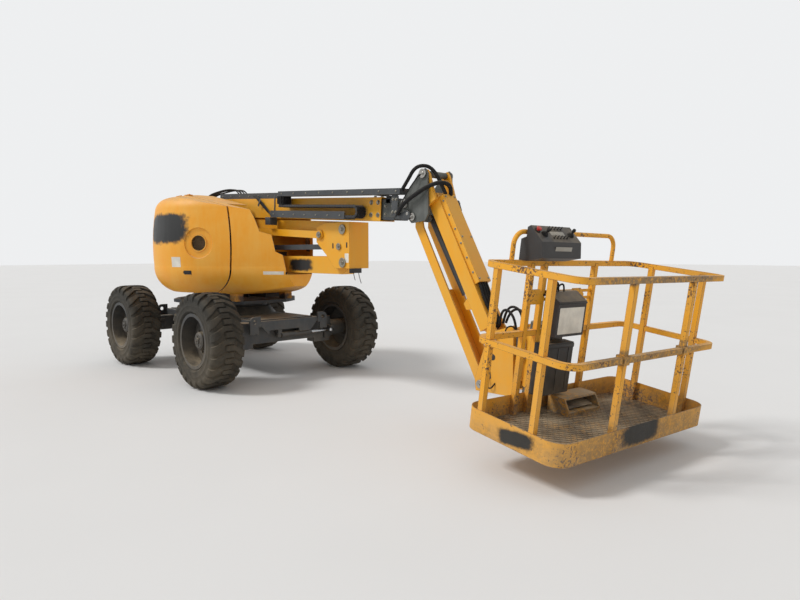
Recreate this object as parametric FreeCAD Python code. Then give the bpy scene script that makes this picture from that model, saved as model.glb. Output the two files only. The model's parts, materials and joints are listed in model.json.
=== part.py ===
import FreeCAD, Part
import math
import os

from FreeCAD import Placement, Rotation, Vector

# Articulating boom lift on four wheels, in millimetres.
# +X points forward along the stowed boom, +Y to the machine's left and +Z up.
# The origin is on the ground, under the slewing axis.

# Driving dimensions of the carrier
OVERALL_WIDTH = 2300.0
WHEELBASE = 2100.0
TYRE_DIAMETER = 1054.0
TYRE_WIDTH = 382.0
LUG_HEIGHT = 24.0
LUGS_PER_ROW = 18
TYRE_SIDES = 18
RIM_DIAMETER = 571.0
KINGPIN_SETBACK = 304.0
FRAME_SETBACK = 720.0
FRAME_LENGTH = 2480.0
FRAME_BOTTOM = 430.0
DECK_HEIGHT = 700.0
FRONT_PLATE_BOTTOM = 548.0
AXLE_HEIGHT = 190.0

# Driving dimensions of the turret
DRUM_RADIUS = 1000.0
NOSE_REACH = 1470.0
COVER_BOTTOM = 985.0
COVER_TOP = 2235.0
COVER_SKIN = 8.0
HOOD_LINE = 575.0
TURNTABLE_BOTTOM = 860.0
TURNTABLE_THICKNESS = 40.0
SLEW_RING_RADIUS = 400.0
ENGINE_LENGTH = 760.0
ENGINE_WIDTH = 340.0
ENGINE_HEIGHT = 600.0

# Driving dimensions of the arms and the boom
PLATE_THICKNESS = 18.0
PLATE_INNER = 112.0
ARM_WIDTH = 150.0
ARM_HEIGHT = 188.0
UPPER_ARM_HEIGHT = 160.0
LINK_THICKNESS = 18.0
LINK_INNER = 82.0
UPPER_LINK_INNER = 136.0
BOOM_WIDTH = 190.0
BOOM_HEIGHT = 230.0
BOOM_WALL = 8.0
BOOM_ANGLE = -3.2
BOOM_LENGTH = 3645.0
BOOM_TAIL = 120.0
TELESCOPE_WIDTH = 150.0
TELESCOPE_HEIGHT = 192.0
TELESCOPE_REAR = 250.0
TELESCOPE_LENGTH = 3500.0
JIB_ANGLE = -61.5
JIB_LENGTH = 1600.0

# Driving dimensions of the platform
BASKET_LENGTH = 1800.0
BASKET_DEPTH = 810.0
BASKET_CORNER = 120.0
TOE_BOARD = 155.0
MID_RAIL = 642.0
TOP_RAIL = 1153.0
POST = 40.0
BASKET_TILT = 7.3
BASKET_YAW = -6.35
ROTATOR_REACH = 550.0

# Clearances
RUNNING_FIT = 0.05
SEAT_GAP = 0.3
SIDE_GAP = 6.0

# Pivot points in the boom's plane (x, z)
ARM_REAR = (-560.0, 1385.0)
ARM_FRONT = (2400.0, 1385.0)
LOWER_LINK_STEP = (-60.0, 165.0)
UPPER_FRONT = (2400.0, 1725.0)
UPPER_REAR = (-495.0, 1887.0)
UPPER_LINK_STEP = (-371.0, -47.0)
BOOM_PIVOT = (-700.0, 2108.0)
BOOM_CYLINDER_FOOT = (-620.0, 1835.0)
BOOM_CYLINDER_EYE = (900.0, -185.0)
ARM_CYLINDER_FOOT = (-420.0, 965.0)
ARM_CYLINDER_EYE = (1100.0, -170.0)
HEAD_PIVOT = (3345.0, 1930.0)
JIB_PIVOT = (3571.0, 2180.0)
JIB_LINK_STEP = (-126.0, -373.0)
JIB_CYLINDER_FOOT = (3535.0, 1791.0)
JIB_CYLINDER_EYE = (1200.0, -185.0)
ROTATOR_FOOT = (4607.0, 304.5)

WHEEL_CENTRE_Y = (OVERALL_WIDTH - TYRE_WIDTH) / 2
KINGPIN_OFFSET = WHEEL_CENTRE_Y - KINGPIN_SETBACK
FRAME_WIDTH = OVERALL_WIDTH - 2 * FRAME_SETBACK
WHEEL_CENTRE_Z = TYRE_DIAMETER / 2
AXLE_X = WHEELBASE / 2

os.makedirs("parts", exist_ok=True)


# Building blocks
def box(x0, x1, y0, y1, z0, z1):
    """A block between two corners."""
    low = Vector(min(x0, x1), min(y0, y1), min(z0, z1))
    return Part.makeBox(abs(x1 - x0), abs(y1 - y0), abs(z1 - z0), low)


def round_bar(start, end, radius):
    """A solid bar between two points."""
    a = Vector(*start)
    b = Vector(*end)
    return Part.makeCylinder(radius, (b - a).Length, a, b - a)


def ring(start, end, radius, hole):
    """A tube between two points."""
    return round_bar(start, end, radius).cut(round_bar(start, end, hole))


def side_plate(points, y0, y1):
    """A plate whose outline lies in the boom's plane, from y0 to y1."""
    corners = [Vector(x, y0, z) for x, z in points]
    face = Part.Face(Part.makePolygon(corners + corners[:1]))
    return face.extrude(Vector(0, y1 - y0, 0))


def deck_plate(points, z0, z1):
    """A plate whose outline lies level, from z0 to z1."""
    corners = [Vector(x, y, z0) for x, y in points]
    face = Part.Face(Part.makePolygon(corners + corners[:1]))
    return face.extrude(Vector(0, 0, z1 - z0))


def cross_pin(point, y0, y1, radius):
    """A pin across the boom's plane."""
    x, z = point
    return round_bar((x, y0, z), (x, y1, z), radius)


def turned(profile):
    """A solid turned about the Y axis from (radius, offset) corners."""
    corners = [Vector(r, y, 0) for r, y in profile]
    face = Part.Face(Part.makePolygon(corners + corners[:1]))
    return face.revolve(Vector(0, 0, 0), Vector(0, 1, 0), 360)


def fuse(solids):
    """One solid from several that meet."""
    first = solids[0]
    return first.fuse(solids[1:]).removeSplitter() if len(solids) > 1 else first


def both_sides(solid):
    """The solid with its mirror image on the other side of the boom's plane."""
    return [solid, solid.mirror(Vector(0, 0, 0), Vector(0, 1, 0))]


def faceted(profile, sides):
    """A solid turned about the Y axis in flat facets, from (radius, offset) corners."""
    rows = []
    for r, y in profile:
        turns = [2 * math.pi * (index + 0.5) / sides for index in range(sides)]
        rows.append([Vector(r * math.sin(turn), y, r * math.cos(turn)) for turn in turns])
    faces = []
    for row, after in zip(rows, rows[1:] + rows[:1]):
        for index in range(sides):
            other = (index + 1) % sides
            corners = [row[index], row[other], after[other], after[index]]
            faces.append(Part.Face(Part.makePolygon(corners + corners[:1])))
    return Part.Solid(Part.Shell(faces))


def bent_tube(points, radius, bend):
    """A round bar along straight runs joined by arcs."""
    edges = []
    start = Vector(*points[0])
    for before, corner, after in zip(points, points[1:], points[2:]):
        middle = Vector(*corner)
        back = (Vector(*before) - middle).normalize()
        ahead = (Vector(*after) - middle).normalize()
        half_turn = back.getAngle(ahead) / 2
        setback = bend / math.tan(half_turn)
        first = middle + back * setback
        last = middle + ahead * setback
        inward = (back + ahead).normalize()
        top = middle + inward * (bend / math.sin(half_turn) - bend)
        edges.append(Part.makeLine(start, first))
        edges.append(Part.Arc(first, top, last).toShape())
        start = last
    edges.append(Part.makeLine(start, Vector(*points[-1])))
    heading_out = Vector(*points[1]) - Vector(*points[0])
    ring_wire = Part.Wire([Part.makeCircle(radius, Vector(*points[0]), heading_out)])
    return Part.Wire(edges).makePipeShell([ring_wire], True, False)


def placed(solid, place):
    """A copy of a solid carried by a placement, on top of its own."""
    moved = solid.copy()
    moved.Placement = place.multiply(solid.Placement)
    return moved


def aim(solid, point, angle):
    """Moves a solid drawn along +X to a point, raised by an angle."""
    x, z = point
    return placed(solid, Placement(Vector(x, 0, z), Rotation(Vector(0, -1, 0), angle)))


def along(point, angle, step):
    """The point reached from another by a step in a raised frame."""
    c = math.cos(math.radians(angle))
    s = math.sin(math.radians(angle))
    return (point[0] + c * step[0] - s * step[1], point[1] + s * step[0] + c * step[1])


def plus(point, step):
    """The sum of a point and a step."""
    return (point[0] + step[0], point[1] + step[1])


def heading(start, end):
    """Distance and angle from one point to another."""
    dx = end[0] - start[0]
    dz = end[1] - start[1]
    return math.hypot(dx, dz), math.degrees(math.atan2(dz, dx))


def save(name, shape):
    """Writes one piece."""
    if not shape.isValid():
        print("invalid", name)
    shape.exportStep("parts/" + name + ".step")
    print(name, len(shape.Solids), round(shape.Volume / 1e6, 2))


def save_group(name, solids):
    """Writes like pieces that don't touch as one node."""
    save(name, Part.makeCompound(solids))


# Wheels
RIM_RADIUS = RIM_DIAMETER / 2
FLANGE_RADIUS = RIM_RADIUS + 20.0
FLANGE_THICKNESS = 14.0
RIM_HALF = TYRE_WIDTH / 2 - 22.0
RIM_WALL = 16.0
HUB_RADIUS = 105.0
SPINDLE_RADIUS = 55.0
SPINDLE_REACH = 40.0
DISC_OFFSET = 20.0
DISC_THICKNESS = 16.0
HUB_REACH = 110.0


def tyre():
    """Faceted carcass with two rows of slanted lugs, one of them flat on the ground."""
    half = TYRE_WIDTH / 2
    flat = math.cos(math.pi / TYRE_SIDES)
    tread = TYRE_DIAMETER / 2 - LUG_HEIGHT
    bead = (RIM_RADIUS + SEAT_GAP) / flat
    shoulder = tread - 38.0
    inside = RIM_HALF - FLANGE_THICKNESS - SEAT_GAP
    section = [
        (bead, -inside),
        (FLANGE_RADIUS + 6.0, -inside),
        (FLANGE_RADIUS + 34.0, -half + 8.0),
        (shoulder, -half + 12.0),
        (tread, -half + 50.0),
        (tread, half - 50.0),
        (shoulder, half - 12.0),
        (FLANGE_RADIUS + 34.0, half - 8.0),
        (FLANGE_RADIUS + 6.0, inside),
        (bead, inside),
    ]
    solids = [faceted(section, TYRE_SIDES)]
    pitch = 360.0 / LUGS_PER_ROW
    root = shoulder - 24.0
    length = math.pi * TYRE_DIAMETER / LUGS_PER_ROW
    for side, shift in ((1, 0.0), (-1, 0.5)):
        outline = [
            Vector(-0.25 * length, side * 12.0, root),
            Vector(0.04 * length, side * 12.0, root),
            Vector(0.25 * length, side * half, root),
            Vector(-0.06 * length, side * half, root),
        ]
        face = Part.Face(Part.makePolygon(outline + outline[:1]))
        lug = face.extrude(Vector(0, 0, TYRE_DIAMETER / 2 - root))
        for index in range(LUGS_PER_ROW):
            turn = lug.copy()
            turn.rotate(Vector(0, 0, 0), Vector(0, 1, 0), (index + shift) * pitch)
            solids.append(turn)
    return fuse(solids)


def rim():
    """Deep dished rim with its disc and hub, open inwards for the spindle."""
    barrel = RIM_RADIUS - RIM_WALL
    profile = [
        (RIM_RADIUS, -RIM_HALF + FLANGE_THICKNESS),
        (FLANGE_RADIUS, -RIM_HALF + FLANGE_THICKNESS),
        (FLANGE_RADIUS, -RIM_HALF),
        (barrel, -RIM_HALF),
        (barrel - 12.0, DISC_OFFSET - 30.0),
        (HUB_RADIUS + 40.0, DISC_OFFSET),
        (HUB_RADIUS, DISC_OFFSET),
        (HUB_RADIUS, -60.0),
        (SPINDLE_RADIUS + RUNNING_FIT, -60.0),
        (SPINDLE_RADIUS + RUNNING_FIT, SPINDLE_REACH + 4.0),
        (0.0, SPINDLE_REACH + 4.0),
        (0.0, HUB_REACH),
        (HUB_RADIUS - 30.0, HUB_REACH),
        (HUB_RADIUS - 10.0, HUB_REACH - 12.0),
        (HUB_RADIUS, DISC_OFFSET + DISC_THICKNESS),
        (HUB_RADIUS + 40.0, DISC_OFFSET + DISC_THICKNESS),
        (barrel, DISC_OFFSET + DISC_THICKNESS - 20.0),
        (barrel, RIM_HALF),
        (FLANGE_RADIUS, RIM_HALF),
        (FLANGE_RADIUS, RIM_HALF - FLANGE_THICKNESS),
        (RIM_RADIUS, RIM_HALF - FLANGE_THICKNESS),
    ]
    return turned(profile)


# name, forward side, left side
WHEELS = (
    ("front_left", 1, 1),
    ("front_right", 1, -1),
    ("rear_left", -1, 1),
    ("rear_right", -1, -1),
)


def wheels():
    """Four tyres and rims, each dished outwards."""
    plain_tyre = tyre()
    plain_rim = rim()
    for name, fore, side in WHEELS:
        spot = Vector(fore * AXLE_X, side * WHEEL_CENTRE_Y, WHEEL_CENTRE_Z)
        turn = Rotation(Vector(0, 0, 1), 0 if side > 0 else 180)
        for kind, solid in (("tyre_", plain_tyre), ("rim_", plain_rim)):
            piece = solid.copy()
            piece.Placement = Placement(spot, turn)
            save(kind + name, piece)


# Axles, steering and chassis
KNUCKLE_INNER = 45.0
SPINDLE_END = WHEEL_CENTRE_Y + SPINDLE_REACH
KINGPIN_RADIUS = 28.0
FORK_GAP = 118.0
FORK_THICKNESS = 34.0
TIE_ROD_BACK = 150.0
STEER_ARM_FRONT = 130.0


def knuckle(side):
    """Knuckle with spindle and steering arms, drawn about its kingpin's height."""
    y = KINGPIN_OFFSET
    z = WHEEL_CENTRE_Z
    x = AXLE_X
    solids = [
        box(x - 60, x + 60, y - KNUCKLE_INNER, y + 50, z - FORK_GAP + 0.5, z + FORK_GAP - 0.5),
        round_bar((x, y + 40, z), (x, SPINDLE_END, z), SPINDLE_RADIUS),
        round_bar((x, y + 40, z), (x, WHEEL_CENTRE_Y - 62, z), SPINDLE_RADIUS + 45),
        box(x - TIE_ROD_BACK - 30, x - 50, y - 26, y + 26, z - 62, z - 34),
        box(x + 50, x + STEER_ARM_FRONT + 30, y - 26, y + 26, z + 14, z + 42),
    ]
    body = fuse(solids)
    hole = round_bar((x, y, z - 300), (x, y, z + 300), KINGPIN_RADIUS + RUNNING_FIT)
    body = body.cut(hole)
    tie = x - TIE_ROD_BACK
    body = fuse([body, round_bar((tie, y, z - 40), (tie, y, z - 96), 12)])
    if side < 0:
        body = body.mirror(Vector(0, 0, 0), Vector(0, 1, 0))
    return body


def front_axle():
    """Box beam with a fork and kingpin at each end."""
    z = WHEEL_CENTRE_Z
    x = AXLE_X
    half = KINGPIN_OFFSET - 83.0
    beam = box(x - 75, x + 75, -half, half, z - AXLE_HEIGHT / 2, z + AXLE_HEIGHT / 2)
    solids = [beam]
    for side in (1, -1):
        y = side * KINGPIN_OFFSET
        for up in (1, -1):
            z0 = z + up * FORK_GAP
            z1 = z + up * (FORK_GAP + FORK_THICKNESS)
            solids.append(box(x - 70, x + 70, side * (half - 130), y, z0, z1))
            solids.append(round_bar((x, y, min(z0, z1)), (x, y, max(z0, z1)), 70))
            inner = side * (FRAME_WIDTH / 2 + 5)
            solids.append(box(x - 75, x + 75, inner, side * half, z, z1))
        low = z - FORK_GAP - FORK_THICKNESS
        high = z + FORK_GAP + FORK_THICKNESS
        solids.append(round_bar((x, y, low), (x, y, high), KINGPIN_RADIUS))
    return fuse(solids)


def rear_axle():
    """Box beam with a spindle at each end."""
    z = WHEEL_CENTRE_Z
    x = -AXLE_X
    half = WHEEL_CENTRE_Y - 62.0
    solids = [
        box(x - 75, x + 75, -half + 277, half - 277, z - AXLE_HEIGHT / 2, z + AXLE_HEIGHT / 2),
        round_bar((x, -SPINDLE_END, z), (x, SPINDLE_END, z), SPINDLE_RADIUS),
    ]
    for side in (1, -1):
        solids.append(round_bar((x, side * (half - 337), z), (x, side * half, z), SPINDLE_RADIUS + 45))
    return fuse(solids)


STEER_RAM_LENGTH = 520.0


def steering():
    """Steering cylinder across the axle and the tie rod behind it."""
    z = WHEEL_CENTRE_Z
    x = AXLE_X + STEER_ARM_FRONT
    eye_y = KINGPIN_OFFSET
    foot_y = -120.0
    level = z - 10.0
    barrel = fuse([
        round_bar((x, foot_y + 30, level), (x, foot_y + STEER_RAM_LENGTH - 60, level), 36),
        round_bar((x, foot_y, level - 22), (x, foot_y, level + 22), 34),
    ])
    bore = round_bar((x, foot_y + 120, level), (x, foot_y + STEER_RAM_LENGTH, level), 18.1)
    pin_hole = round_bar((x, foot_y, level - 40), (x, foot_y, level + 40), 16.1)
    save("steer_cylinder", barrel.cut(bore).cut(pin_hole))
    rod = fuse([
        round_bar((x, foot_y + 260, level), (x, eye_y - 20, level), 18),
        round_bar((x, eye_y, level - 12), (x, eye_y, level + 12), 34),
    ])
    save("steer_rod", fuse([rod, round_bar((x, eye_y, level - 18), (x, eye_y, level + 20), 14)]))
    back = AXLE_X - TIE_ROD_BACK
    low = z - 80.0
    tie = [round_bar((back, -eye_y, low), (back, eye_y, low), 16)]
    for side in (1, -1):
        tie.append(round_bar((back, side * eye_y, low - 14), (back, side * eye_y, low + 14), 30))
    tie_rod = fuse(tie)
    for side in (1, -1):
        spot = (back, side * eye_y)
        tie_rod = tie_rod.cut(round_bar((*spot, low - 40), (*spot, low + 40), 12.1))
    save("tie_rod", tie_rod)


def chassis():
    """Frame box with a sloping deck, slew pedestal and lifting eyes."""
    half = FRAME_WIDTH / 2
    reach = FRAME_LENGTH / 2
    z = WHEEL_CENTRE_Z
    body = box(-reach, reach, -half, half, FRAME_BOTTOM, DECK_HEIGHT)
    for fore in (1, -1):
        slot = box(fore * AXLE_X - 76, fore * AXLE_X + 76, -half - 1, half + 1,
                   FRAME_BOTTOM - 1, z + AXLE_HEIGHT / 2)
        body = body.cut(slot)
    tunnel = box(AXLE_X + 76, reach - 12, -half + 14, half + 1, FRAME_BOTTOM - 1, DECK_HEIGHT - 40)
    body = body.cut(tunnel)
    front_rooms = [
        box(AXLE_X + 76, reach + 1, -half - 1, half + 1, FRAME_BOTTOM - 1, FRONT_PLATE_BOTTOM),
        box(reach - 13, reach + 1, -285, 134, FRAME_BOTTOM - 1, FRONT_PLATE_BOTTOM + 42),
    ]
    for side in (1, -1):
        chamfer = Part.Face(Part.makePolygon([
            Vector(reach - 13, side * (half + 1), DECK_HEIGHT - 12),
            Vector(reach - 13, side * (half + 1), FRONT_PLATE_BOTTOM - 1),
            Vector(reach - 13, side * (half - 140), FRONT_PLATE_BOTTOM - 1),
            Vector(reach - 13, side * (half + 1), DECK_HEIGHT - 12),
        ]))
        front_rooms.append(chamfer.extrude(Vector(14, 0, 0)))
    for room in front_rooms:
        body = body.cut(room)
    back_room = box(AXLE_X - TIE_ROD_BACK - 130, AXLE_X - 76, -half - 1, half + 1,
                    FRAME_BOTTOM - 1, z + AXLE_HEIGHT / 2)
    body = body.cut(back_room)
    lug_x = AXLE_X + STEER_ARM_FRONT
    lug = fuse([
        box(lug_x - 40, lug_x + 40, -150, -98, z + 14, DECK_HEIGHT - 38),
        round_bar((lug_x, -120, z - 34), (lug_x, -120, z + 16), 16),
    ])
    pedestal = Part.makeCone(SLEW_RING_RADIUS + 110, SLEW_RING_RADIUS + 30,
                             TURNTABLE_BOTTOM - 60 - DECK_HEIGHT, Vector(0, 0, DECK_HEIGHT))
    covers_on_deck = [
        box(side * 560, side * (reach - 60), -half + 60, half - 60, DECK_HEIGHT - 1, DECK_HEIGHT + 12)
        for side in (1, -1)
    ]
    body = fuse([body, lug, pedestal] + covers_on_deck)
    for fore in (1, -1):
        for side in (1, -1):
            eye_y = side * (half + 50)
            plate = fuse([
                box(fore * reach - 12, fore * reach + 12, side * (half - 30), eye_y, 640, 760),
                round_bar((fore * reach - 12, eye_y, 700), (fore * reach + 12, eye_y, 700), 60),
                box(fore * reach - 12, fore * reach + 12, eye_y, eye_y + side * 60, 562, 700),
                box(fore * reach - 12, fore * reach + 12, side * (half + 3), eye_y, 562, 700),
            ])
            hole = round_bar((fore * reach - 20, eye_y, 700), (fore * reach + 20, eye_y, 700), 25)
            body = fuse([body, plate]).cut(hole)
    save("chassis_frame", body)
    low = TURNTABLE_BOTTOM - 60
    ring_body = ring((0, 0, low), (0, 0, TURNTABLE_BOTTOM - SEAT_GAP), SLEW_RING_RADIUS, 300)
    save("slew_ring", ring_body)


# Turret
NORMAL_ANGLE = math.degrees(math.acos(DRUM_RADIUS / math.hypot(NOSE_REACH, 170.0)))
NORMAL_ANGLE = NORMAL_ANGLE + math.degrees(math.atan2(170.0, NOSE_REACH))


def drum(radius, bottom, top, bulge):
    """Cover body: its side profile carried round the rear arc and along two flat cheeks."""
    start = Vector(0, 0, bottom)
    profile = [
        Part.makeLine(start, Vector(0.70 * radius, 0, bottom)),
        Part.Arc(Vector(0.70 * radius, 0, bottom), Vector(0.92 * radius, 0, bottom + 110),
                 Vector(radius, 0, bottom + 345)).toShape(),
        Part.Arc(Vector(radius, 0, bottom + 345), Vector(radius + bulge, 0, bottom + 660),
                 Vector(0.975 * radius, 0, top - 235)).toShape(),
        Part.Arc(Vector(0.975 * radius, 0, top - 235), Vector(0.93 * radius, 0, top - 130),
                 Vector(0.82 * radius, 0, top - 70)).toShape(),
        Part.makeLine(Vector(0.82 * radius, 0, top - 70), Vector(0.45 * radius, 0, top)),
        Part.makeLine(Vector(0.45 * radius, 0, top), Vector(0, 0, top)),
        Part.makeLine(Vector(0, 0, top), start),
    ]
    face = Part.Face(Part.Wire(profile))
    rear = face.copy()
    rear.rotate(Vector(0, 0, 0), Vector(0, 0, 1), NORMAL_ANGLE)
    barrel = rear.revolve(Vector(0, 0, 0), Vector(0, 0, 1), 360 - 2 * NORMAL_ANGLE)
    left = face.copy()
    left.rotate(Vector(0, 0, 0), Vector(0, 0, 1), NORMAL_ANGLE)
    slant = math.radians(NORMAL_ANGLE - 90)
    reach = 1.3 * NOSE_REACH
    cheek = left.extrude(Vector(reach * math.cos(slant), reach * math.sin(slant), 0))
    cheek = cheek.common(box(-NOSE_REACH, NOSE_REACH, 0, 2 * radius, 0, 2 * top))
    other = cheek.mirror(Vector(0, 0, 0), Vector(0, 1, 0))
    return fuse([barrel, cheek, other])


SLOT_HALF = 170.0
# half width, height of the slot's stepped front mouth
MOUTH = (
    (185.0, 1240.0),
    (185.0, 1300.0),
    (210.0, 1460.0),
    (262.0, 1500.0),
    (287.0, 1690.0),
    (370.0, 1730.0),
    (400.0, 1900.0),
    (440.0, 2050.0),
    (460.0, 2400.0),
)
COVER_SPLIT = 14.0
HOOD_HINGES = (-360.0, -120.0)
HINGE_Y = HOOD_LINE - 3.0
HINGE_Z = COVER_TOP - 19.0


PORTHOLE_Z = 1599.0
PORTHOLE_RADIUS = 88.0
DISH_RADIUS = 184.0
DISH_DEPTH = 24.0
SOLE_SLOPE = 0.153


def porthole_point(depth):
    """A point on the left porthole's axis, at a depth below the cover's surface."""
    turn = math.radians(NORMAL_ANGLE)
    reach = DRUM_RADIUS + 8.0 - depth
    return Vector(reach * math.cos(turn), reach * math.sin(turn), PORTHOLE_Z)


def dish(skin):
    """The left hood's shallow round recess, grown by a skin."""
    outward = 60.0
    start = porthole_point(-outward)
    end = porthole_point(DISH_DEPTH + skin)
    widening = 14.0 / DISH_DEPTH
    wide = DISH_RADIUS + widening * outward + skin
    narrow = DISH_RADIUS - widening * DISH_DEPTH + skin
    return Part.makeCone(wide, narrow, (end - start).Length, start, end - start)


def cover_shell():
    """Hollow cover body, trimmed for its sloping top and rising nose."""
    outer = drum(DRUM_RADIUS, COVER_BOTTOM, COVER_TOP, 8.0)
    inner = drum(DRUM_RADIUS - COVER_SKIN, COVER_BOTTOM + COVER_SKIN, COVER_TOP - COVER_SKIN, 8.0)
    crest = -260.0
    drop = 0.19

    def trim(solid, inset):
        top = COVER_TOP - inset
        far = NOSE_REACH + 200
        wedge = [(crest, top), (far, top - drop * (far - crest)), (far, top + 400), (crest, top + 400)]
        solid = solid.cut(side_plate(wedge, -1500, 1500))
        keel = COVER_BOTTOM + inset
        sole = [(700, keel), (far, keel + SOLE_SLOPE * (far - 700)), (far, keel - 200),
                (700, keel - 200)]
        return solid.cut(side_plate(sole, -1500, 1500))

    outer = trim(outer, 0.0).cut(Part.makeCompound(both_sides(dish(0.0))))
    inner = trim(inner, COVER_SKIN).cut(Part.makeCompound(both_sides(dish(COVER_SKIN))))
    return outer.cut(inner)


def covers():
    """Side hoods that swing up and the fixed centre covers between them."""
    shell = cover_shell()
    far = 2000.0
    hood_side = box(-far, far, HOOD_LINE + COVER_SPLIT / 2, far, 0, 3000)
    left_hood = shell.common(hood_side)
    floor_cut = box(-far, far, HOOD_LINE - 10, far, 0, COVER_BOTTOM + 20)
    left_hood = left_hood.cut(floor_cut)
    floor = porthole_point(DISH_DEPTH + COVER_SKIN - 1)
    lip = porthole_point(DISH_DEPTH - 10)
    past = porthole_point(DISH_DEPTH + 3 * COVER_SKIN)
    outside = porthole_point(-60)
    left_hood = fuse([left_hood, round_bar(floor, lip, PORTHOLE_RADIUS + 14)])
    left_hood = left_hood.cut(round_bar(past, outside, PORTHOLE_RADIUS))
    slot = placed(box(960, 1040, -28, 28, 1243, 1269),
                  Placement(Vector(0, 0, 0), Rotation(Vector(0, 0, 1), 64.7)))
    left_hood = left_hood.cut(slot)
    leaves = []
    for x in HOOD_HINGES:
        leaves.append(ring((x - 19, HINGE_Y, HINGE_Z), (x + 19, HINGE_Y, HINGE_Z), 9, 5.05))
        leaf = box(x - 19, x + 19, HINGE_Y + 4, HOOD_LINE + 44, HINGE_Z - 34, HINGE_Z - 3)
        leaves.append(leaf.cut(round_bar((x - 20, HINGE_Y, HINGE_Z), (x + 20, HINGE_Y, HINGE_Z), 6)))
    left_hood = fuse([left_hood] + leaves)
    save("hood_left", left_hood)
    save("hood_right", left_hood.mirror(Vector(0, 0, 0), Vector(0, 1, 0)))
    middle = shell.common(box(-far, far, -HOOD_LINE + COVER_SPLIT / 2, HOOD_LINE - COVER_SPLIT / 2,
                              0, 3000))
    middle = middle.common(box(-690, far, -far, far, 0, 3000))
    middle = middle.cut(box(-far, far, -SLOT_HALF, SLOT_HALF, 1240, 3000))
    mouth = [Vector(600, half, z) for half, z in MOUTH]
    mouth = mouth + [Vector(600, -half, z) for half, z in reversed(MOUTH)]
    funnel = Part.Face(Part.makePolygon(mouth + mouth[:1])).extrude(Vector(1500, 0, 0))
    middle = middle.cut(funnel)
    plates_room = box(-far, 640, -far, far, 0, COVER_BOTTOM + 20)
    middle = middle.cut(plates_room).cut(box(-far, 0, -far, far, 0, 1300))
    trim = []
    for x in HOOD_HINGES:
        notch = box(x - 20, x + 20, HOOD_LINE - 14, far, HINGE_Z - 12, HINGE_Z + 20)
        middle = middle.cut(Part.makeCompound(both_sides(notch)))
        trim.append(round_bar((x - 34, HINGE_Y, HINGE_Z), (x + 34, HINGE_Y, HINGE_Z), 5))
        for x0 in (x - 34, x + 20):
            trim.append(round_bar((x0, HINGE_Y, HINGE_Z), (x0 + 14, HINGE_Y, HINGE_Z), 9))
            trim.append(box(x0, x0 + 14, HOOD_LINE - 44, HOOD_LINE - COVER_SPLIT / 2,
                            HINGE_Z - 34, HINGE_Z + 2))
    turntable = TURNTABLE_BOTTOM + TURNTABLE_THICKNESS + SEAT_GAP
    trim.append(box(560, 700, 300, 400, turntable, COVER_BOTTOM + 60))
    pieces = [middle]
    for solid in trim:
        pieces = pieces + both_sides(solid)
    save("front_covers", fuse(pieces))


def counterweight():
    """Cast tail weight behind the arm plates, with a slot for the stowed mast."""
    tail = DRUM_RADIUS + 60.0
    low = TURNTABLE_BOTTOM + TURNTABLE_THICKNESS + SEAT_GAP
    high = COVER_TOP - 130.0
    section = [(0, low), (730, low), (780, 985), (tail - 130, 1080), (tail - 50, 1170), (tail, 1330),
               (tail, high - 120), (tail - 40, high), (0, high)]
    corners = [Vector(r, 0, z) for r, z in section]
    face = Part.Face(Part.makePolygon(corners + corners[:1]))
    face.rotate(Vector(0, 0, 0), Vector(0, 0, 1), 135)
    body = face.revolve(Vector(0, 0, 0), Vector(0, 0, 1), 90)
    body = body.common(box(-tail, -705, -565, 565, 0, 3000))
    return body.cut(box(-tail - 1, -690, -SLOT_HALF, SLOT_HALF, 1300, 3000))


def turret_frame():
    """Turntable plate with the two arm plates and the cylinder's foot."""
    low = TURNTABLE_BOTTOM
    high = low + TURNTABLE_THICKNESS
    plate = [
        (-720, -300), (-550, -550), (-300, -720), (300, -720), (550, -550), (720, -300),
        (720, 300), (550, 550), (300, 720), (-300, 720), (-550, 550), (-720, 300),
    ]
    base = deck_plate(plate, low, high)
    y0 = PLATE_INNER
    y1 = y0 + PLATE_THICKNESS
    arm_link = plus(ARM_REAR, LOWER_LINK_STEP)
    outline = [
        (-690, high - 1), (120, high - 1), (60, 1120), (-430, 1500), (-520, 1610),
        (arm_link[0] - 60, 1610), (-690, 1480),
    ]
    cheek = side_plate(outline, y0, y1)
    solids = [base] + both_sides(cheek)
    body = fuse(solids)
    for spot, radius in ((ARM_REAR, 40.0), (arm_link, 24.0), (ARM_CYLINDER_FOOT, 30.0)):
        body = fuse([body, cross_pin(spot, -y1 - 8, y1 + 8, radius)])
    return body


# Arms and links
ARM_PIN = 40.0
LINK_PIN = 24.0
LINK_HALF = 34.0


def pierced(solid, holes):
    """Cuts cross holes given as (point, radius)."""
    for spot, radius in holes:
        solid = solid.cut(cross_pin(spot, -400, 400, radius + RUNNING_FIT))
    return solid


def lower_arm():
    """Box arm from the turret plates to the front knuckle, with the cylinder's bracket."""
    half = ARM_WIDTH / 2
    top = 65.0
    bottom = top - ARM_HEIGHT
    reach = ARM_FRONT[0] - ARM_REAR[0]
    outline = [
        (-60, -50), (-60, 40), (-30, top), (reach - 10, top), (reach + 55, 30),
        (reach + 55, -45), (reach - 70, bottom), (140, bottom),
    ]
    body = side_plate(outline, -half, half)
    eye = ARM_CYLINDER_EYE
    for side in (1, -1):
        ear = [(eye[0] - 70, bottom + 5), (eye[0] - 35, eye[1] - 45), (eye[0] + 35, eye[1] - 45),
               (eye[0] + 70, bottom + 5)]
        body = fuse([body, side_plate(ear, side * 42, side * 58)])
    body = aim(body, ARM_REAR, 0.0)
    return pierced(body, [(ARM_REAR, ARM_PIN), (ARM_FRONT, ARM_PIN)])


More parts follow.
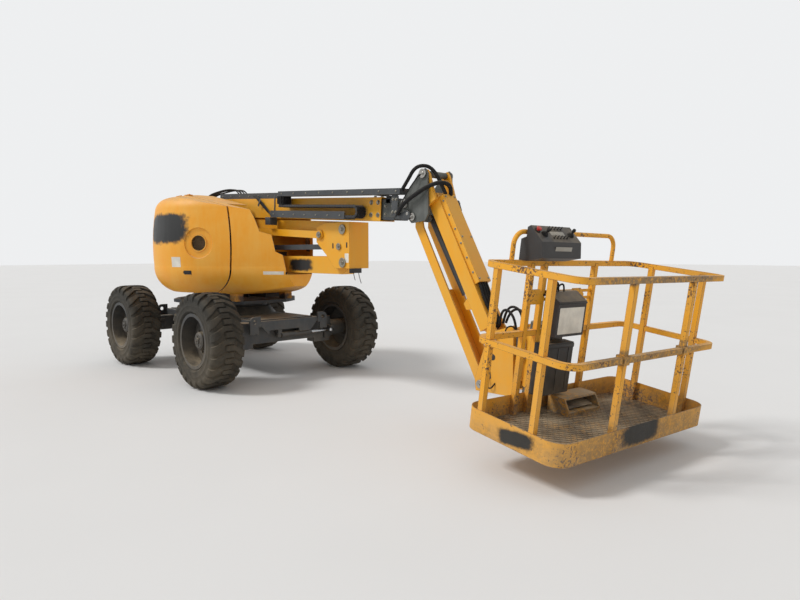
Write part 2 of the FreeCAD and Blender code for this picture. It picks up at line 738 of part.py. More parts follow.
def link_pair(start, end, half, y0, y1):
    """Two flat bars with round ends, one each side of the arm."""
    length, angle = heading(start, end)
    bar = fuse([
        box(0, length, y0, y1, -half * 0.8, half * 0.8),
        round_bar((0, y0, 0), (0, y1, 0), half),
        round_bar((length, y0, 0), (length, y1, 0), half),
    ])
    for x in (0, length):
        bar = bar.cut(round_bar((x, 0, 0), (x, 300, 0), LINK_PIN + RUNNING_FIT))
    return [aim(piece, start, angle) for piece in both_sides(bar)]


def upper_arm():
    """Box arm whose rear half is an open channel for the boom's cylinder."""
    half = ARM_WIDTH / 2
    tall = UPPER_ARM_HEIGHT / 2
    length, angle = heading(UPPER_REAR, UPPER_FRONT)
    outline = [
        (-70, -30), (-70, 30), (-30, tall), (length - 20, tall), (length + 60, 30),
        (length + 60, -30), (length - 20, -tall), (-30, -tall),
    ]
    body = side_plate(outline, -half, half)
    wall = 12.0
    channel_end = 900.0
    body = body.cut(box(-100, channel_end, -half + wall, half - wall, -tall + wall, tall + 5))
    body = body.cut(box(-100, 220, -half + wall, half - wall, -tall - 5, tall + 5))
    body = aim(body, UPPER_REAR, angle)
    return pierced(body, [(UPPER_REAR, 30.0), (UPPER_FRONT, ARM_PIN)])


def front_knuckle():
    """Open-backed box that joins the two arms and keeps level."""
    y0 = PLATE_INNER
    y1 = y0 + PLATE_THICKNESS
    x = ARM_FRONT[0]
    outline = [
        (x + 105, 1325), (x - 146, 1325), (x - 263, 1452), (x - 445, 1600), (x - 445, 1760),
        (x - 300, 1800), (x + 105, 1800),
    ]
    solids = both_sides(side_plate(outline, y0, y1))
    solids.append(box(x + 87, x + 105, -y0 - 1, y0 + 1, 1325, 1800))
    body = fuse(solids)
    upper_link = plus(UPPER_FRONT, UPPER_LINK_STEP)
    lower_link = plus(ARM_FRONT, LOWER_LINK_STEP)
    pins = ((ARM_FRONT, ARM_PIN), (UPPER_FRONT, ARM_PIN), (lower_link, LINK_PIN))
    solids = [cross_pin(spot, -y1 - 8, y1 + 8, radius) for spot, radius in pins]
    solids = solids + both_sides(cross_pin(upper_link, y0, UPPER_LINK_INNER + 22, LINK_PIN))
    return fuse([body] + solids)


def boom_mast():
    """Pair of rear plates that carry the boom and its cylinder on the upper arm."""
    y0 = PLATE_INNER
    y1 = y0 + PLATE_THICKNESS
    upper_link = plus(UPPER_REAR, UPPER_LINK_STEP)
    outline = [
        (upper_link[0] - 60, upper_link[1] - 60), (BOOM_CYLINDER_FOOT[0], BOOM_CYLINDER_FOOT[1] - 50),
        (UPPER_REAR[0] + 30, UPPER_REAR[1] - 90), (UPPER_REAR[0] + 80, UPPER_REAR[1] - 20),
        (BOOM_PIVOT[0] + 90, BOOM_PIVOT[1] + 20), (BOOM_PIVOT[0] + 40, BOOM_PIVOT[1] + 80),
        (BOOM_PIVOT[0] - 60, BOOM_PIVOT[1] + 80), (upper_link[0] - 60, upper_link[1] + 60),
    ]
    solids = both_sides(side_plate(outline, y0, y1))
    x = upper_link[0]
    solids.append(box(x - 45, x + 15, -y0 - 1, y0 + 1, 1810, 1850))
    solids.append(cross_pin(BOOM_PIVOT, -y1 - 8, y1 + 8, ARM_PIN))
    solids.append(cross_pin(BOOM_CYLINDER_FOOT, -y1, y1, 25.0))
    solids = solids + both_sides(cross_pin(upper_link, y0, UPPER_LINK_INNER + 22, LINK_PIN))
    solids = solids + both_sides(cross_pin(UPPER_REAR, ARM_WIDTH / 2 - 12.0, y1, 30.0))
    return fuse(solids)


# Hydraulic cylinders
def ram(name, foot, eye, barrel_length, bore, rod, pin, half):
    """Barrel turning on its foot pin, and the rod with an eye that has its own short pin."""
    length, angle = heading(foot, eye)
    barrel = fuse([
        round_bar((pin + 6, 0, 0), (barrel_length, 0, 0), bore),
        round_bar((0, -half - 10, 0), (0, half + 10, 0), pin + 14),
    ])
    barrel = barrel.cut(round_bar((pin + 50, 0, 0), (barrel_length + 50, 0, 0), rod + 0.1))
    barrel = barrel.cut(round_bar((0, -400, 0), (0, 400, 0), pin + RUNNING_FIT))
    save(name + "_cylinder", aim(barrel, foot, angle))
    stick = fuse([
        round_bar((pin + 100, 0, 0), (length - 10, 0, 0), rod),
        round_bar((length, -half, 0), (length, half, 0), rod + 8),
    ])
    save(name + "_rod", aim(stick, foot, angle))


# Boom, telescope and cable carrier
CHAIN_OUTER = -235.0
CHAIN_INNER = -115.0


def boom():
    """Hollow outer boom with its cylinder ears, in its own frame along +X."""
    half = BOOM_WIDTH / 2
    tall = BOOM_HEIGHT / 2
    body = box(-BOOM_TAIL, BOOM_LENGTH, -half, half, -tall, tall)
    body = body.cut(box(TELESCOPE_REAR - 100, BOOM_LENGTH + 1, -half + BOOM_WALL, half - BOOM_WALL,
                        -tall + BOOM_WALL, tall - BOOM_WALL))
    eye = BOOM_CYLINDER_EYE
    ear = [(eye[0] - 110, -tall + 2), (eye[0] - 30, eye[1] - 40), (eye[0] + 30, eye[1] - 40),
           (eye[0] + 110, -tall + 2)]
    solids = [body] + both_sides(side_plate(ear, 42, 56))
    body = fuse(solids)
    body = aim(body, BOOM_PIVOT, BOOM_ANGLE)
    return pierced(body, [(BOOM_PIVOT, ARM_PIN)])


def telescope():
    """Inner boom with its tip block."""
    half = TELESCOPE_WIDTH / 2
    tall = TELESCOPE_HEIGHT / 2
    end = TELESCOPE_REAR + TELESCOPE_LENGTH
    wall = 8.0
    body = box(TELESCOPE_REAR, end, -half, half, -tall, tall)
    body = body.cut(box(TELESCOPE_REAR - 1, end - 120, -half + wall, half - wall,
                        -tall + wall, tall - wall))
    body = aim(body, BOOM_PIVOT, BOOM_ANGLE)
    tip = along(BOOM_PIVOT, BOOM_ANGLE, (end, 0))
    nose = side_plate([
        (tip[0] - 60, tip[1] - 80), (HEAD_PIVOT[0] - 50, HEAD_PIVOT[1] - 50),
        (HEAD_PIVOT[0] + 20, HEAD_PIVOT[1] - 45), (HEAD_PIVOT[0] + 45, HEAD_PIVOT[1]),
        (HEAD_PIVOT[0], HEAD_PIVOT[1] + 50), (tip[0] - 60, tip[1] + 80),
    ], -40, 40)
    return pierced(fuse([body, nose]), [(HEAD_PIVOT, 30.0)])


def cable_carrier():
    """Fixed tray and top channel on the boom, moving channel, and the chain between."""
    tray = box(1940, 3270, CHAIN_OUTER, -BOOM_WIDTH / 2, -106, -97 - SEAT_GAP)
    lip = box(1940, 3270, CHAIN_OUTER - 6, CHAIN_OUTER, -106, -30)
    top = box(430, 1900, -60, 60, BOOM_HEIGHT / 2, BOOM_HEIGHT / 2 + 70)
    save_group("cable_tray", [aim(fuse([tray, lip]), BOOM_PIVOT, BOOM_ANGLE),
                              aim(top, BOOM_PIVOT, BOOM_ANGLE)])
    end = TELESCOPE_REAR + TELESCOPE_LENGTH
    channel = fuse([
        box(2078, 4040, CHAIN_OUTER, CHAIN_INNER, 130, 184),
        box(end - 80, end - 10, CHAIN_OUTER, 50, 122, 132),
        box(end - 80, end - 10, -50, 50, TELESCOPE_HEIGHT / 2 + SEAT_GAP, 124),
        box(2085, 2165, CHAIN_OUTER, CHAIN_INNER, 37 + SEAT_GAP, 132),
    ])
    save("cable_channel", aim(channel, BOOM_PIVOT, BOOM_ANGLE))
    outer = 67.0
    inner = 37.0
    front = 3393.0
    middle = -30.0
    y0 = CHAIN_OUTER + 2
    y1 = CHAIN_INNER - 2
    loop = fuse([
        box(2090, front, y0, y1, middle + inner, middle + outer),
        box(1990, front, y0, y1, middle - outer, middle - inner),
        round_bar((front, y0, middle), (front, y1, middle), outer),
    ])
    hollow = fuse([
        round_bar((front, y0 - 1, middle), (front, y1 + 1, middle), inner),
        box(front - 100, front, y0 - 1, y1 + 1, middle - inner, middle + inner),
    ])
    save("cable_chain", aim(loop.cut(hollow), BOOM_PIVOT, BOOM_ANGLE))


# Head, jib and rotator
HEAD_INNER = 150.0
EAR_OUTER = HEAD_INNER - SIDE_GAP
JIB_PIN = 30.0
HEAD_LUG = 46.0
JIB_LINK_INNER = 76.0


def boom_head():
    """Levelled head: two triangular plates with the jib's upper and lower pins."""
    y0 = HEAD_INNER
    y1 = y0 + PLATE_THICKNESS
    lower = plus(JIB_PIVOT, JIB_LINK_STEP)
    outline = [
        (JIB_PIVOT[0] - 45, JIB_PIVOT[1] + 20), (JIB_PIVOT[0] + 20, JIB_PIVOT[1] + 45),
        (JIB_PIVOT[0] + 48, JIB_PIVOT[1]), (JIB_PIVOT[0] + 60, lower[1] + 20),
        (JIB_PIVOT[0] + 20, lower[1] - 40), (lower[0] - 20, lower[1] - 55),
        (HEAD_PIVOT[0] - 60, HEAD_PIVOT[1] - 40), (HEAD_PIVOT[0] - 45, HEAD_PIVOT[1] + 30),
    ]
    foot = JIB_CYLINDER_FOOT
    inner = [
        (HEAD_PIVOT[0] - 42, HEAD_PIVOT[1] - 20), (lower[0] - 20, lower[1] - 38),
        (foot[0] + 12, foot[1] - 34), (foot[0] + 36, foot[1]), (foot[0] + 12, foot[1] + 34),
        (lower[0] + 20, lower[1] + 45), (HEAD_PIVOT[0] + 40, HEAD_PIVOT[1] + 30),
        (HEAD_PIVOT[0] - 30, HEAD_PIVOT[1] + 40),
    ]
    solids = both_sides(side_plate(outline, y0, y1))
    solids = solids + both_sides(side_plate(inner, HEAD_LUG, HEAD_LUG + 14))
    for spot, radius in ((HEAD_PIVOT, 30.0), (JIB_PIVOT, JIB_PIN), (lower, LINK_PIN)):
        solids.append(cross_pin(spot, -y1 - 12, y1 + 12, radius))
    solids.append(cross_pin(foot, -HEAD_LUG - 14, HEAD_LUG + 14, 20.0))
    return fuse(solids)


def jib():
    """Jib beam with two upper ears, a stepped cover and the cylinder's eye ears."""
    half = 95.0
    solids = [
        box(190, JIB_LENGTH - 130, -half, half, -125, 0),
        box(235, 1090, -80, 80, -2, 50),
    ]
    for side in (1, -1):
        ear = [(-40, -30), (-20, 38), (30, 42), (260, 0), (260, -125), (190, -125)]
        solids.append(side_plate(ear, side * (EAR_OUTER - 22), side * EAR_OUTER))
        solids.append(box(195, 255, side * 80, side * (EAR_OUTER - 10), -120, -5))
        tail = [(JIB_LENGTH - 230, -125), (JIB_LENGTH - 230, -5), (JIB_LENGTH + 40, 38),
                (JIB_LENGTH + 40, -38)]
        solids.append(side_plate(tail, side * 60, side * 80))
        eye = JIB_CYLINDER_EYE
        lug = [(eye[0] - 70, -124), (eye[0] - 30, eye[1] - 35), (eye[0] + 30, eye[1] - 35),
               (eye[0] + 70, -124)]
        solids.append(side_plate(lug, side * 28, side * 42))
    body = fuse(solids)
    body = aim(body, JIB_PIVOT, JIB_ANGLE)
    end = along(JIB_PIVOT, JIB_ANGLE, (JIB_LENGTH, 0))
    return pierced(body, [(JIB_PIVOT, JIB_PIN), (end, JIB_PIN)])


def jib_link():
    """Lower link of the jib's parallelogram: two deep bars with a web behind the cylinder."""
    low = -81.0
    high = 7.0
    outline = [(-28, -30), (-28, 22), (30, 30), (110, high), (JIB_LENGTH - 110, high),
               (JIB_LENGTH - 30, 30), (JIB_LENGTH + 28, 22), (JIB_LENGTH + 28, -30),
               (JIB_LENGTH - 60, low), (60, low)]
    inner = JIB_LINK_INNER
    solids = both_sides(side_plate(outline, inner, inner + 16))
    solids.append(box(700, JIB_LENGTH - 80, -inner - 1, inner + 1, low, low + 10))
    start = plus(JIB_PIVOT, JIB_LINK_STEP)
    bar = aim(fuse(solids), start, JIB_ANGLE)
    end = along(start, JIB_ANGLE, (JIB_LENGTH, 0))
    return pierced(bar, [(start, LINK_PIN), (end, LINK_PIN)])


ROTATOR_RADIUS = 90.0
ROTATOR_LOW = 60.0
ROTATOR_HIGH = 640.0


def tilted(solid):
    """Carries a solid drawn about the rotator's upright axis to its tilted place."""
    x, z = ROTATOR_FOOT
    return placed(solid, Placement(Vector(x, 0, z), Rotation(Vector(0, 1, 0), BASKET_TILT)))


def in_basket(solid):
    """Carries a solid drawn about the tray's centre to its tilted and turned place."""
    x, z = ROTATOR_FOOT
    tilt = Placement(Vector(x, 0, z), Rotation(Vector(0, 1, 0), BASKET_TILT))
    turn = Placement(Vector(0, 0, 0), Rotation(Vector(0, 0, 1), BASKET_YAW))
    step = Placement(Vector(ROTATOR_REACH, 0, 0), Rotation())
    return placed(solid, tilt.multiply(turn).multiply(step))


def jib_bracket():
    """Pair of end plates with the rotator's housing between their front edges."""
    y0 = 130.0
    y1 = y0 + 15.0
    upper = along(JIB_PIVOT, JIB_ANGLE, (JIB_LENGTH, 0))
    lower = plus(upper, JIB_LINK_STEP)
    outline = [
        (lower[0] - 50, lower[1] - 60), (lower[0] - 60, lower[1] + 40), (upper[0] - 60, upper[1] + 30),
        (upper[0] - 20, upper[1] + 70), (4530, 915), (4530, 345),
    ]
    solids = both_sides(side_plate(outline, y0, y1))
    solids.append(box(4505, 4530, -y0 - 1, y0 + 1, 400, 880))
    body = fuse(solids)
    housing = round_bar((0, 0, ROTATOR_LOW + 60), (0, 0, ROTATOR_HIGH - 60), ROTATOR_RADIUS)
    saddle = box(-130, -60, -60, 60, ROTATOR_LOW + 90, ROTATOR_HIGH - 90)
    body = fuse([body, tilted(fuse([housing, saddle]))])
    for spot, radius in ((upper, JIB_PIN), (lower, LINK_PIN)):
        body = fuse([body, cross_pin(spot, -y1 - 10, y1 + 10, radius)])
    return body


def rotator():
    """Turning shaft's end caps and the two arms that carry the basket."""
    reach = ROTATOR_REACH - BASKET_DEPTH / 2
    gap = 1.0
    solids = []
    for low, high in ((ROTATOR_LOW, ROTATOR_LOW + 60 - gap), (ROTATOR_HIGH - 60 + gap, ROTATOR_HIGH)):
        solids.append(round_bar((0, 0, low), (0, 0, high), ROTATOR_RADIUS - 10))
        solids.append(box(0, reach - 1, -60, 60, low, high))
    solids.append(box(reach - 26, reach - 1, -95, 95, ROTATOR_LOW, ROTATOR_HIGH))
    body = fuse(solids)
    body.rotate(Vector(0, 0, 0), Vector(0, 0, 1), BASKET_YAW)
    return tilted(body)


# Platform
def tray_outline(depth, length, corner):
    """Rounded rectangle about the origin as a wire at z = 0."""
    a = depth / 2
    b = length / 2
    r = corner
    k = r * (1 - math.sqrt(0.5))
    edges = []
    corners = ((a, b), (-a, b), (-a, -b), (a, -b))
    for index, (cx, cy) in enumerate(corners):
        sx = 1 if cx > 0 else -1
        sy = 1 if cy > 0 else -1
        along_x = Vector(cx - sx * r, cy, 0)
        along_y = Vector(cx, cy - sy * r, 0)
        bend = Vector(cx - sx * k, cy - sy * k, 0)
        first, last = (along_y, along_x) if index % 2 == 0 else (along_x, along_y)
        if edges:
            edges.append(Part.makeLine(edges[-1].Vertexes[-1].Point, first))
        edges.append(Part.Arc(first, bend, last).toShape())
    edges.append(Part.makeLine(edges[-1].Vertexes[-1].Point, edges[0].Vertexes[0].Point))
    return Part.Wire(edges)


def tray_block(depth, length, corner, z0, z1):
    """Solid block on the rounded outline."""
    face = Part.Face(tray_outline(depth, length, corner))
    block = face.extrude(Vector(0, 0, z1 - z0))
    block.translate(Vector(0, 0, z0))
    return block


def basket_tray():
    """Floor tray with its toe boards."""
    wall = 4.0
    outer = tray_block(BASKET_DEPTH, BASKET_LENGTH, BASKET_CORNER, 0, TOE_BOARD)
    inner = tray_block(BASKET_DEPTH - 2 * wall, BASKET_LENGTH - 2 * wall, BASKET_CORNER - wall,
                       6, TOE_BOARD + 1)
    return in_basket(outer.cut(inner))


def rail(height):
    """Square rail bent round the basket."""
    outer = tray_block(BASKET_DEPTH, BASKET_LENGTH, BASKET_CORNER, height - POST, height)
    inner = tray_block(BASKET_DEPTH - 2 * POST, BASKET_LENGTH - 2 * POST, BASKET_CORNER - POST,
                       height - POST - 1, height + 1)
    return outer.cut(inner)


SIDE_X = BASKET_DEPTH / 2 - 4.0 - POST / 2
END_Y = BASKET_LENGTH / 2 - 4.0 - POST / 2
GATE_RIGHT = -335.0
GATE_LEFT = 410.0
# x, y of each post's centre
POST_PLACES = (
    (SIDE_X, GATE_RIGHT),
    (SIDE_X, GATE_LEFT),
    (-SIDE_X, -410.0),
    (-SIDE_X, -265.0),
    (-SIDE_X, 350.0),
    (-265.0, -END_Y),
    (175.0, -END_Y),
    (-200.0, END_Y),
    (220.0, END_Y),
)
HOOP_RIGHT = -620.0
HOOP_LEFT = 570.0
HOOP_TUBE = 17.0


def basket_rails():
    """Posts with the mid and top rails and the raised guard hoop over the console."""
    body = fuse([rail(TOP_RAIL), rail(MID_RAIL)])
    side = BASKET_DEPTH / 2
    gate = box(side - POST - 1, side + 1, GATE_RIGHT - POST, GATE_LEFT + POST,
               MID_RAIL - POST - 1, MID_RAIL + 1)
    solids = [body.cut(gate)]
    for x, y in POST_PLACES:
        solids.append(box(x - POST / 2, x + POST / 2, y - POST / 2, y + POST / 2,
                          6, TOP_RAIL - POST / 2))
    x = -side + POST / 2
    crest = TOP_RAIL + 197
    solids.append(bent_tube([(x, HOOP_RIGHT, TOP_RAIL - 10), (x, HOOP_RIGHT, crest),
                             (x, HOOP_LEFT, crest), (x, HOOP_LEFT, TOP_RAIL - 10)],
                            HOOP_TUBE, 95.0))
    return in_basket(fuse(solids))


def basket_parts():
    """Entry bar, console, switch box, document box and pedal."""
    x = BASKET_DEPTH / 2
    low = MID_RAIL - POST
    solids = [box(x - POST, x, GATE_RIGHT + 40, GATE_LEFT - 40, low, MID_RAIL)]
    for inward, y in ((1, GATE_RIGHT), (-1, GATE_LEFT)):
        sleeve = box(x - 58, x + 6, y - 32, y + 32, low - 10, MID_RAIL + 10)
        hole = box(x - 4 - POST - 0.5, x - 4 + 0.5, y - POST / 2 - 0.5, y + POST / 2 + 0.5, 0, 2000)
        solids.append(sleeve.cut(hole))
        solids.append(box(x - POST, x - 3, y + inward * 28, y + inward * 50, low, MID_RAIL))
    save("entry_bar", in_basket(fuse(solids)))
    back = -BASKET_DEPTH / 2
    wall = back + POST + SEAT_GAP
    seat = TOP_RAIL + SEAT_GAP
    console = [(back + 5, seat), (back + 5, TOP_RAIL + 147), (back + 50, TOP_RAIL + 167),
               (back + 50, TOP_RAIL + 232), (back + 75, TOP_RAIL + 247),
               (back + 190, TOP_RAIL + 147), (back + 205, TOP_RAIL + 37), (back + 75, seat)]
    save("control_box", in_basket(side_plate(console, -530, -100)))
    switch = [(wall, MID_RAIL - 32), (wall, MID_RAIL + 288), (wall + 30, MID_RAIL + 288),
              (wall + 130, MID_RAIL + 228), (wall + 130, MID_RAIL - 32)]
    save("switch_box", in_basket(side_plate(switch, -230, 100)))
    post_face = -SIDE_X + POST / 2 + SEAT_GAP
    document = box(post_face, post_face + 92, -285, 55, TOE_BOARD + 5, MID_RAIL - POST - 50)
    save("document_box", in_basket(document))
    outline = [(back + 50, 6), (back + 250, 6), (back + 250, 40), (back + 195, 130), (back + 50, 130)]
    pedal = side_plate(outline, -50, 350)
    pedal = pedal.cut(box(back + 90, back + 251, -35, 335, 34, 118))
    save("foot_pedal", in_basket(pedal))


def engine_block():
    """Plain block at the engine's place."""
    base = TURNTABLE_BOTTOM + TURNTABLE_THICKNESS
    return box(-ENGINE_LENGTH * 0.6, ENGINE_LENGTH * 0.4, HOOD_LINE - ENGINE_WIDTH + 25,
               HOOD_LINE + 25, base, base + ENGINE_HEIGHT)


def build():
    """Writes every piece."""
    wheels()
    save("knuckle_left", knuckle(1))
    save("knuckle_right", knuckle(-1))
    save("front_axle", front_axle())
    save("rear_axle", rear_axle())
    steering()
    chassis()
    save("turret_frame", turret_frame())
    save("counterweight", counterweight())
    save("engine_block", engine_block())
    covers()
    save("lower_arm", lower_arm())
    arm_link = plus(ARM_REAR, LOWER_LINK_STEP)
    save_group("lower_link", link_pair(arm_link, plus(ARM_FRONT, LOWER_LINK_STEP), LINK_HALF,
                                       LINK_INNER, LINK_INNER + LINK_THICKNESS))
    save("front_knuckle", front_knuckle())
    save("upper_arm", upper_arm())
    save_group("upper_link", link_pair(plus(UPPER_REAR, UPPER_LINK_STEP),
                                       plus(UPPER_FRONT, UPPER_LINK_STEP), 50.0,
                                       UPPER_LINK_INNER, UPPER_LINK_INNER + 14.0))
    save("boom_mast", boom_mast())
    save("boom", boom())
    save("telescope", telescope())
    cable_carrier()
    save("boom_head", boom_head())
    save("jib", jib())
    save("jib_link", jib_link())
    save("jib_bracket", jib_bracket())
    save("rotator", rotator())
    save("basket_tray", basket_tray())
    save("basket_rails", basket_rails())
    basket_parts()
    for name, foot, eye, length, bore, rod, pin, half in (
        ("arm", ARM_CYLINDER_FOOT, plus(ARM_REAR, ARM_CYLINDER_EYE), 760.0, 48.0, 28.0, 30.0, 30.0),
        ("boom", BOOM_CYLINDER_FOOT, along(BOOM_PIVOT, BOOM_ANGLE, BOOM_CYLINDER_EYE),
         580.0, 38.0, 22.0, 25.0, 32.0),
        ("jib", JIB_CYLINDER_FOOT, along(JIB_PIVOT, JIB_ANGLE, JIB_CYLINDER_EYE),
         770.0, 36.0, 20.0, 20.0, 22.0),
    ):
        ram(name, foot, eye, length, bore, rod, pin, half)


build()
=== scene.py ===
import json
import math

import bpy
import numpy as np
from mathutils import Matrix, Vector


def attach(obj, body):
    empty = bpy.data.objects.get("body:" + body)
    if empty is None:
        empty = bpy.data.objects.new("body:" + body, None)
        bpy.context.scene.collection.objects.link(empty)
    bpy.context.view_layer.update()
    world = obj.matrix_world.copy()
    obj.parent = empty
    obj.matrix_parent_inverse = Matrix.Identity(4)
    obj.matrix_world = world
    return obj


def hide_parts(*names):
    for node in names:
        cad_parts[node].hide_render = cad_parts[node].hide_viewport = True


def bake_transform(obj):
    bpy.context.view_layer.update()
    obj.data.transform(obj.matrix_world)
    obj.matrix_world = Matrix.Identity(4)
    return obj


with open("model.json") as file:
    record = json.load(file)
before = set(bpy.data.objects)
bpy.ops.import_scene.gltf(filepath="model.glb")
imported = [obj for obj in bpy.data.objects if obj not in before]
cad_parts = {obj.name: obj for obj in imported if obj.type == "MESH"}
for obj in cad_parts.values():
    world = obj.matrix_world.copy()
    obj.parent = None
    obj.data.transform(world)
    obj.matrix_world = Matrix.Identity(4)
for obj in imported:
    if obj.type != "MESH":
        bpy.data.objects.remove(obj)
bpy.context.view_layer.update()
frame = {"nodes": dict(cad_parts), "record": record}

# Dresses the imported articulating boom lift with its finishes, hoses, fasteners and wear.
# +X points forward along the boom, +Y to the machine's left and +Z up, in metres.

bl_info = {
    "name": "Boom lift finishes",
    "version": (1, 0, 0),
    "blender": (4, 5, 0),
    "location": "3D View > Sidebar > Boom lift",
    "description": "Finishes, hoses, fasteners and wear of an articulating boom lift",
    "category": "Object",
}

NODES = frame["nodes"]


def linear(red, green, blue):
    """A colour given in screen bytes, as the linear values that shaders take."""
    screen = np.array([red, green, blue]) / 255.0
    return tuple(np.where(screen <= 0.04045, screen / 12.92, ((screen + 0.055) / 1.055) ** 2.4))


# Settings that a user would change
class LiftFinishes(bpy.types.PropertyGroup):
    """Colours and wear of the painted, moulded and rubber surfaces."""

    yellow: bpy.props.FloatVectorProperty(
        name="Boom yellow", description="Paint of the arms, the jib and the platform",
        subtype="COLOR", size=3, min=0.0, max=1.0, default=linear(238, 166, 26))
    orange: bpy.props.FloatVectorProperty(
        name="Hood yellow", description="Moulded covers of the turret",
        subtype="COLOR", size=3, min=0.0, max=1.0, default=linear(240, 160, 22))
    dark: bpy.props.FloatVectorProperty(
        name="Dark paint", description="Paint of the links, the mast and the turret frame",
        subtype="COLOR", size=3, min=0.0, max=1.0, default=linear(52, 56, 60))
    grey: bpy.props.FloatVectorProperty(
        name="Chassis grey", description="Paint of the chassis, the axles and the head plates",
        subtype="COLOR", size=3, min=0.0, max=1.0, default=linear(72, 75, 71))
    dust: bpy.props.FloatVectorProperty(
        name="Dust", description="Dust that settles on tops and low down",
        subtype="COLOR", size=3, min=0.0, max=1.0, default=linear(176, 158, 130))
    rust: bpy.props.FloatVectorProperty(
        name="Rust", description="Rust where paint has gone",
        subtype="COLOR", size=3, min=0.0, max=1.0, default=linear(104, 58, 30))
    wear: bpy.props.FloatProperty(
        name="Wear", description="How far the wear has gone, from new to heavy",
        subtype="FACTOR", min=0.0, max=2.0, default=1.0)


class LiftStage(bpy.types.PropertyGroup):
    """Floor, light and camera."""

    camera_place: bpy.props.FloatVectorProperty(
        name="Camera place", description="Where the camera stands",
        subtype="XYZ", unit="LENGTH", size=3, default=(7.3115, -4.1208, 1.481))
    camera_heading: bpy.props.FloatProperty(
        name="Camera heading", description="Direction of view in plan, from +X",
        subtype="ANGLE", default=math.radians(135.572))
    camera_dip: bpy.props.FloatProperty(
        name="Camera dip", description="How far the camera looks down",
        subtype="ANGLE", default=math.radians(4.373))
    camera_lens: bpy.props.FloatProperty(
        name="Lens", description="Focal length on a 36 mm sensor",
        subtype="DISTANCE_CAMERA", default=27.507)
    floor_size: bpy.props.FloatProperty(
        name="Floor", description="Width of the floor",
        unit="LENGTH", min=10.0, default=160.0)


# Shader helpers
def new_material(name):
    """An empty material with its Principled shader and output."""
    material = bpy.data.materials.new(name)
    material.use_nodes = True
    tree = material.node_tree
    tree.nodes.clear()
    shader = tree.nodes.new("ShaderNodeBsdfPrincipled")
    output = tree.nodes.new("ShaderNodeOutputMaterial")
    tree.links.new(shader.outputs["BSDF"], output.inputs["Surface"])
    return material, tree, shader


def feed(tree, value, socket):
    """Links a socket, or sets a plain value, on an input socket."""
    if isinstance(value, bpy.types.NodeSocket):
        tree.links.new(value, socket)
    else:
        socket.default_value = value


def maths(tree, operation, first, second=0.0, clamp=False):
    """The result of one arithmetic step."""
    node = tree.nodes.new("ShaderNodeMath")
    node.operation = operation
    node.use_clamp = clamp
    feed(tree, first, node.inputs[0])
    feed(tree, second, node.inputs[1])
    return node.outputs[0]


def product(tree, *values):
    """The values multiplied together."""
    total = values[0]
    for value in values[1:]:
        total = maths(tree, "MULTIPLY", total, value)
    return total


def sum_of(tree, *values):
    """The values added up."""
    total = values[0]
    for value in values[1:]:
        total = maths(tree, "ADD", total, value)
    return total


def blend_colour(tree, factor, first, second):
    """Mixes two colours by a factor."""
    node = tree.nodes.new("ShaderNodeMix")
    node.data_type = "RGBA"
    feed(tree, factor, node.inputs["Factor"])
    for value, socket in ((first, node.inputs[6]), (second, node.inputs[7])):
        feed(tree, value if isinstance(value, bpy.types.NodeSocket) else (*value, 1.0), socket)
    return node.outputs[2]


def blend_value(tree, factor, first, second):
    """Mixes two values by a factor."""
    node = tree.nodes.new("ShaderNodeMix")
    node.data_type = "FLOAT"
    feed(tree, factor, node.inputs["Factor"])
    feed(tree, first, node.inputs[2])
    feed(tree, second, node.inputs[3])
    return node.outputs[0]


def ramp(tree, value, low, high):
    """Maps low to nought and high to one, smoothly, and holds beyond them."""
    node = tree.nodes.new("ShaderNodeMapRange")
    node.interpolation_type = "SMOOTHSTEP"
    feed(tree, value, node.inputs["Value"])
    feed(tree, low, node.inputs["From Min"])
    feed(tree, high, node.inputs["From Max"])
    return node.outputs["Result"]


def noise(tree, where, scale, detail=3.0, roughness=0.55):
    """Fractal noise between nought and one at a place."""
    node = tree.nodes.new("ShaderNodeTexNoise")
    tree.links.new(where, node.inputs["Vector"])
    feed(tree, scale, node.inputs["Scale"])
    node.inputs["Detail"].default_value = detail
    node.inputs["Roughness"].default_value = roughness
    return node.outputs["Fac"]


def object_place(tree):
    """The point's own place on the object."""
    return tree.nodes.new("ShaderNodeTexCoord").outputs["Object"]


def scaled_place(tree, place, scale):
    """A place stretched along the axes."""
    node = tree.nodes.new("ShaderNodeMapping")
    tree.links.new(place, node.inputs["Vector"])
    node.inputs["Scale"].default_value = scale
    return node.outputs["Vector"]


def split(tree, vector):
    """The three parts of a vector."""
    node = tree.nodes.new("ShaderNodeSeparateXYZ")
    tree.links.new(vector, node.inputs[0])
    return node.outputs


# Shared effects, each built once as a node group
def group_sockets(name, takes, gives):
    """A node group with named float or vector inputs and float outputs."""
    tree = bpy.data.node_groups.new(name, "ShaderNodeTree")
    for label, kind, value in takes:
        socket = tree.interface.new_socket(name=label, in_out="INPUT", socket_type=kind)
        socket.default_value = value
    for label in gives:
        tree.interface.new_socket(name=label, in_out="OUTPUT", socket_type="NodeSocketFloat")
    start = tree.nodes.new("NodeGroupInput")
    end = tree.nodes.new("NodeGroupOutput")
    return tree, start.outputs, end.inputs


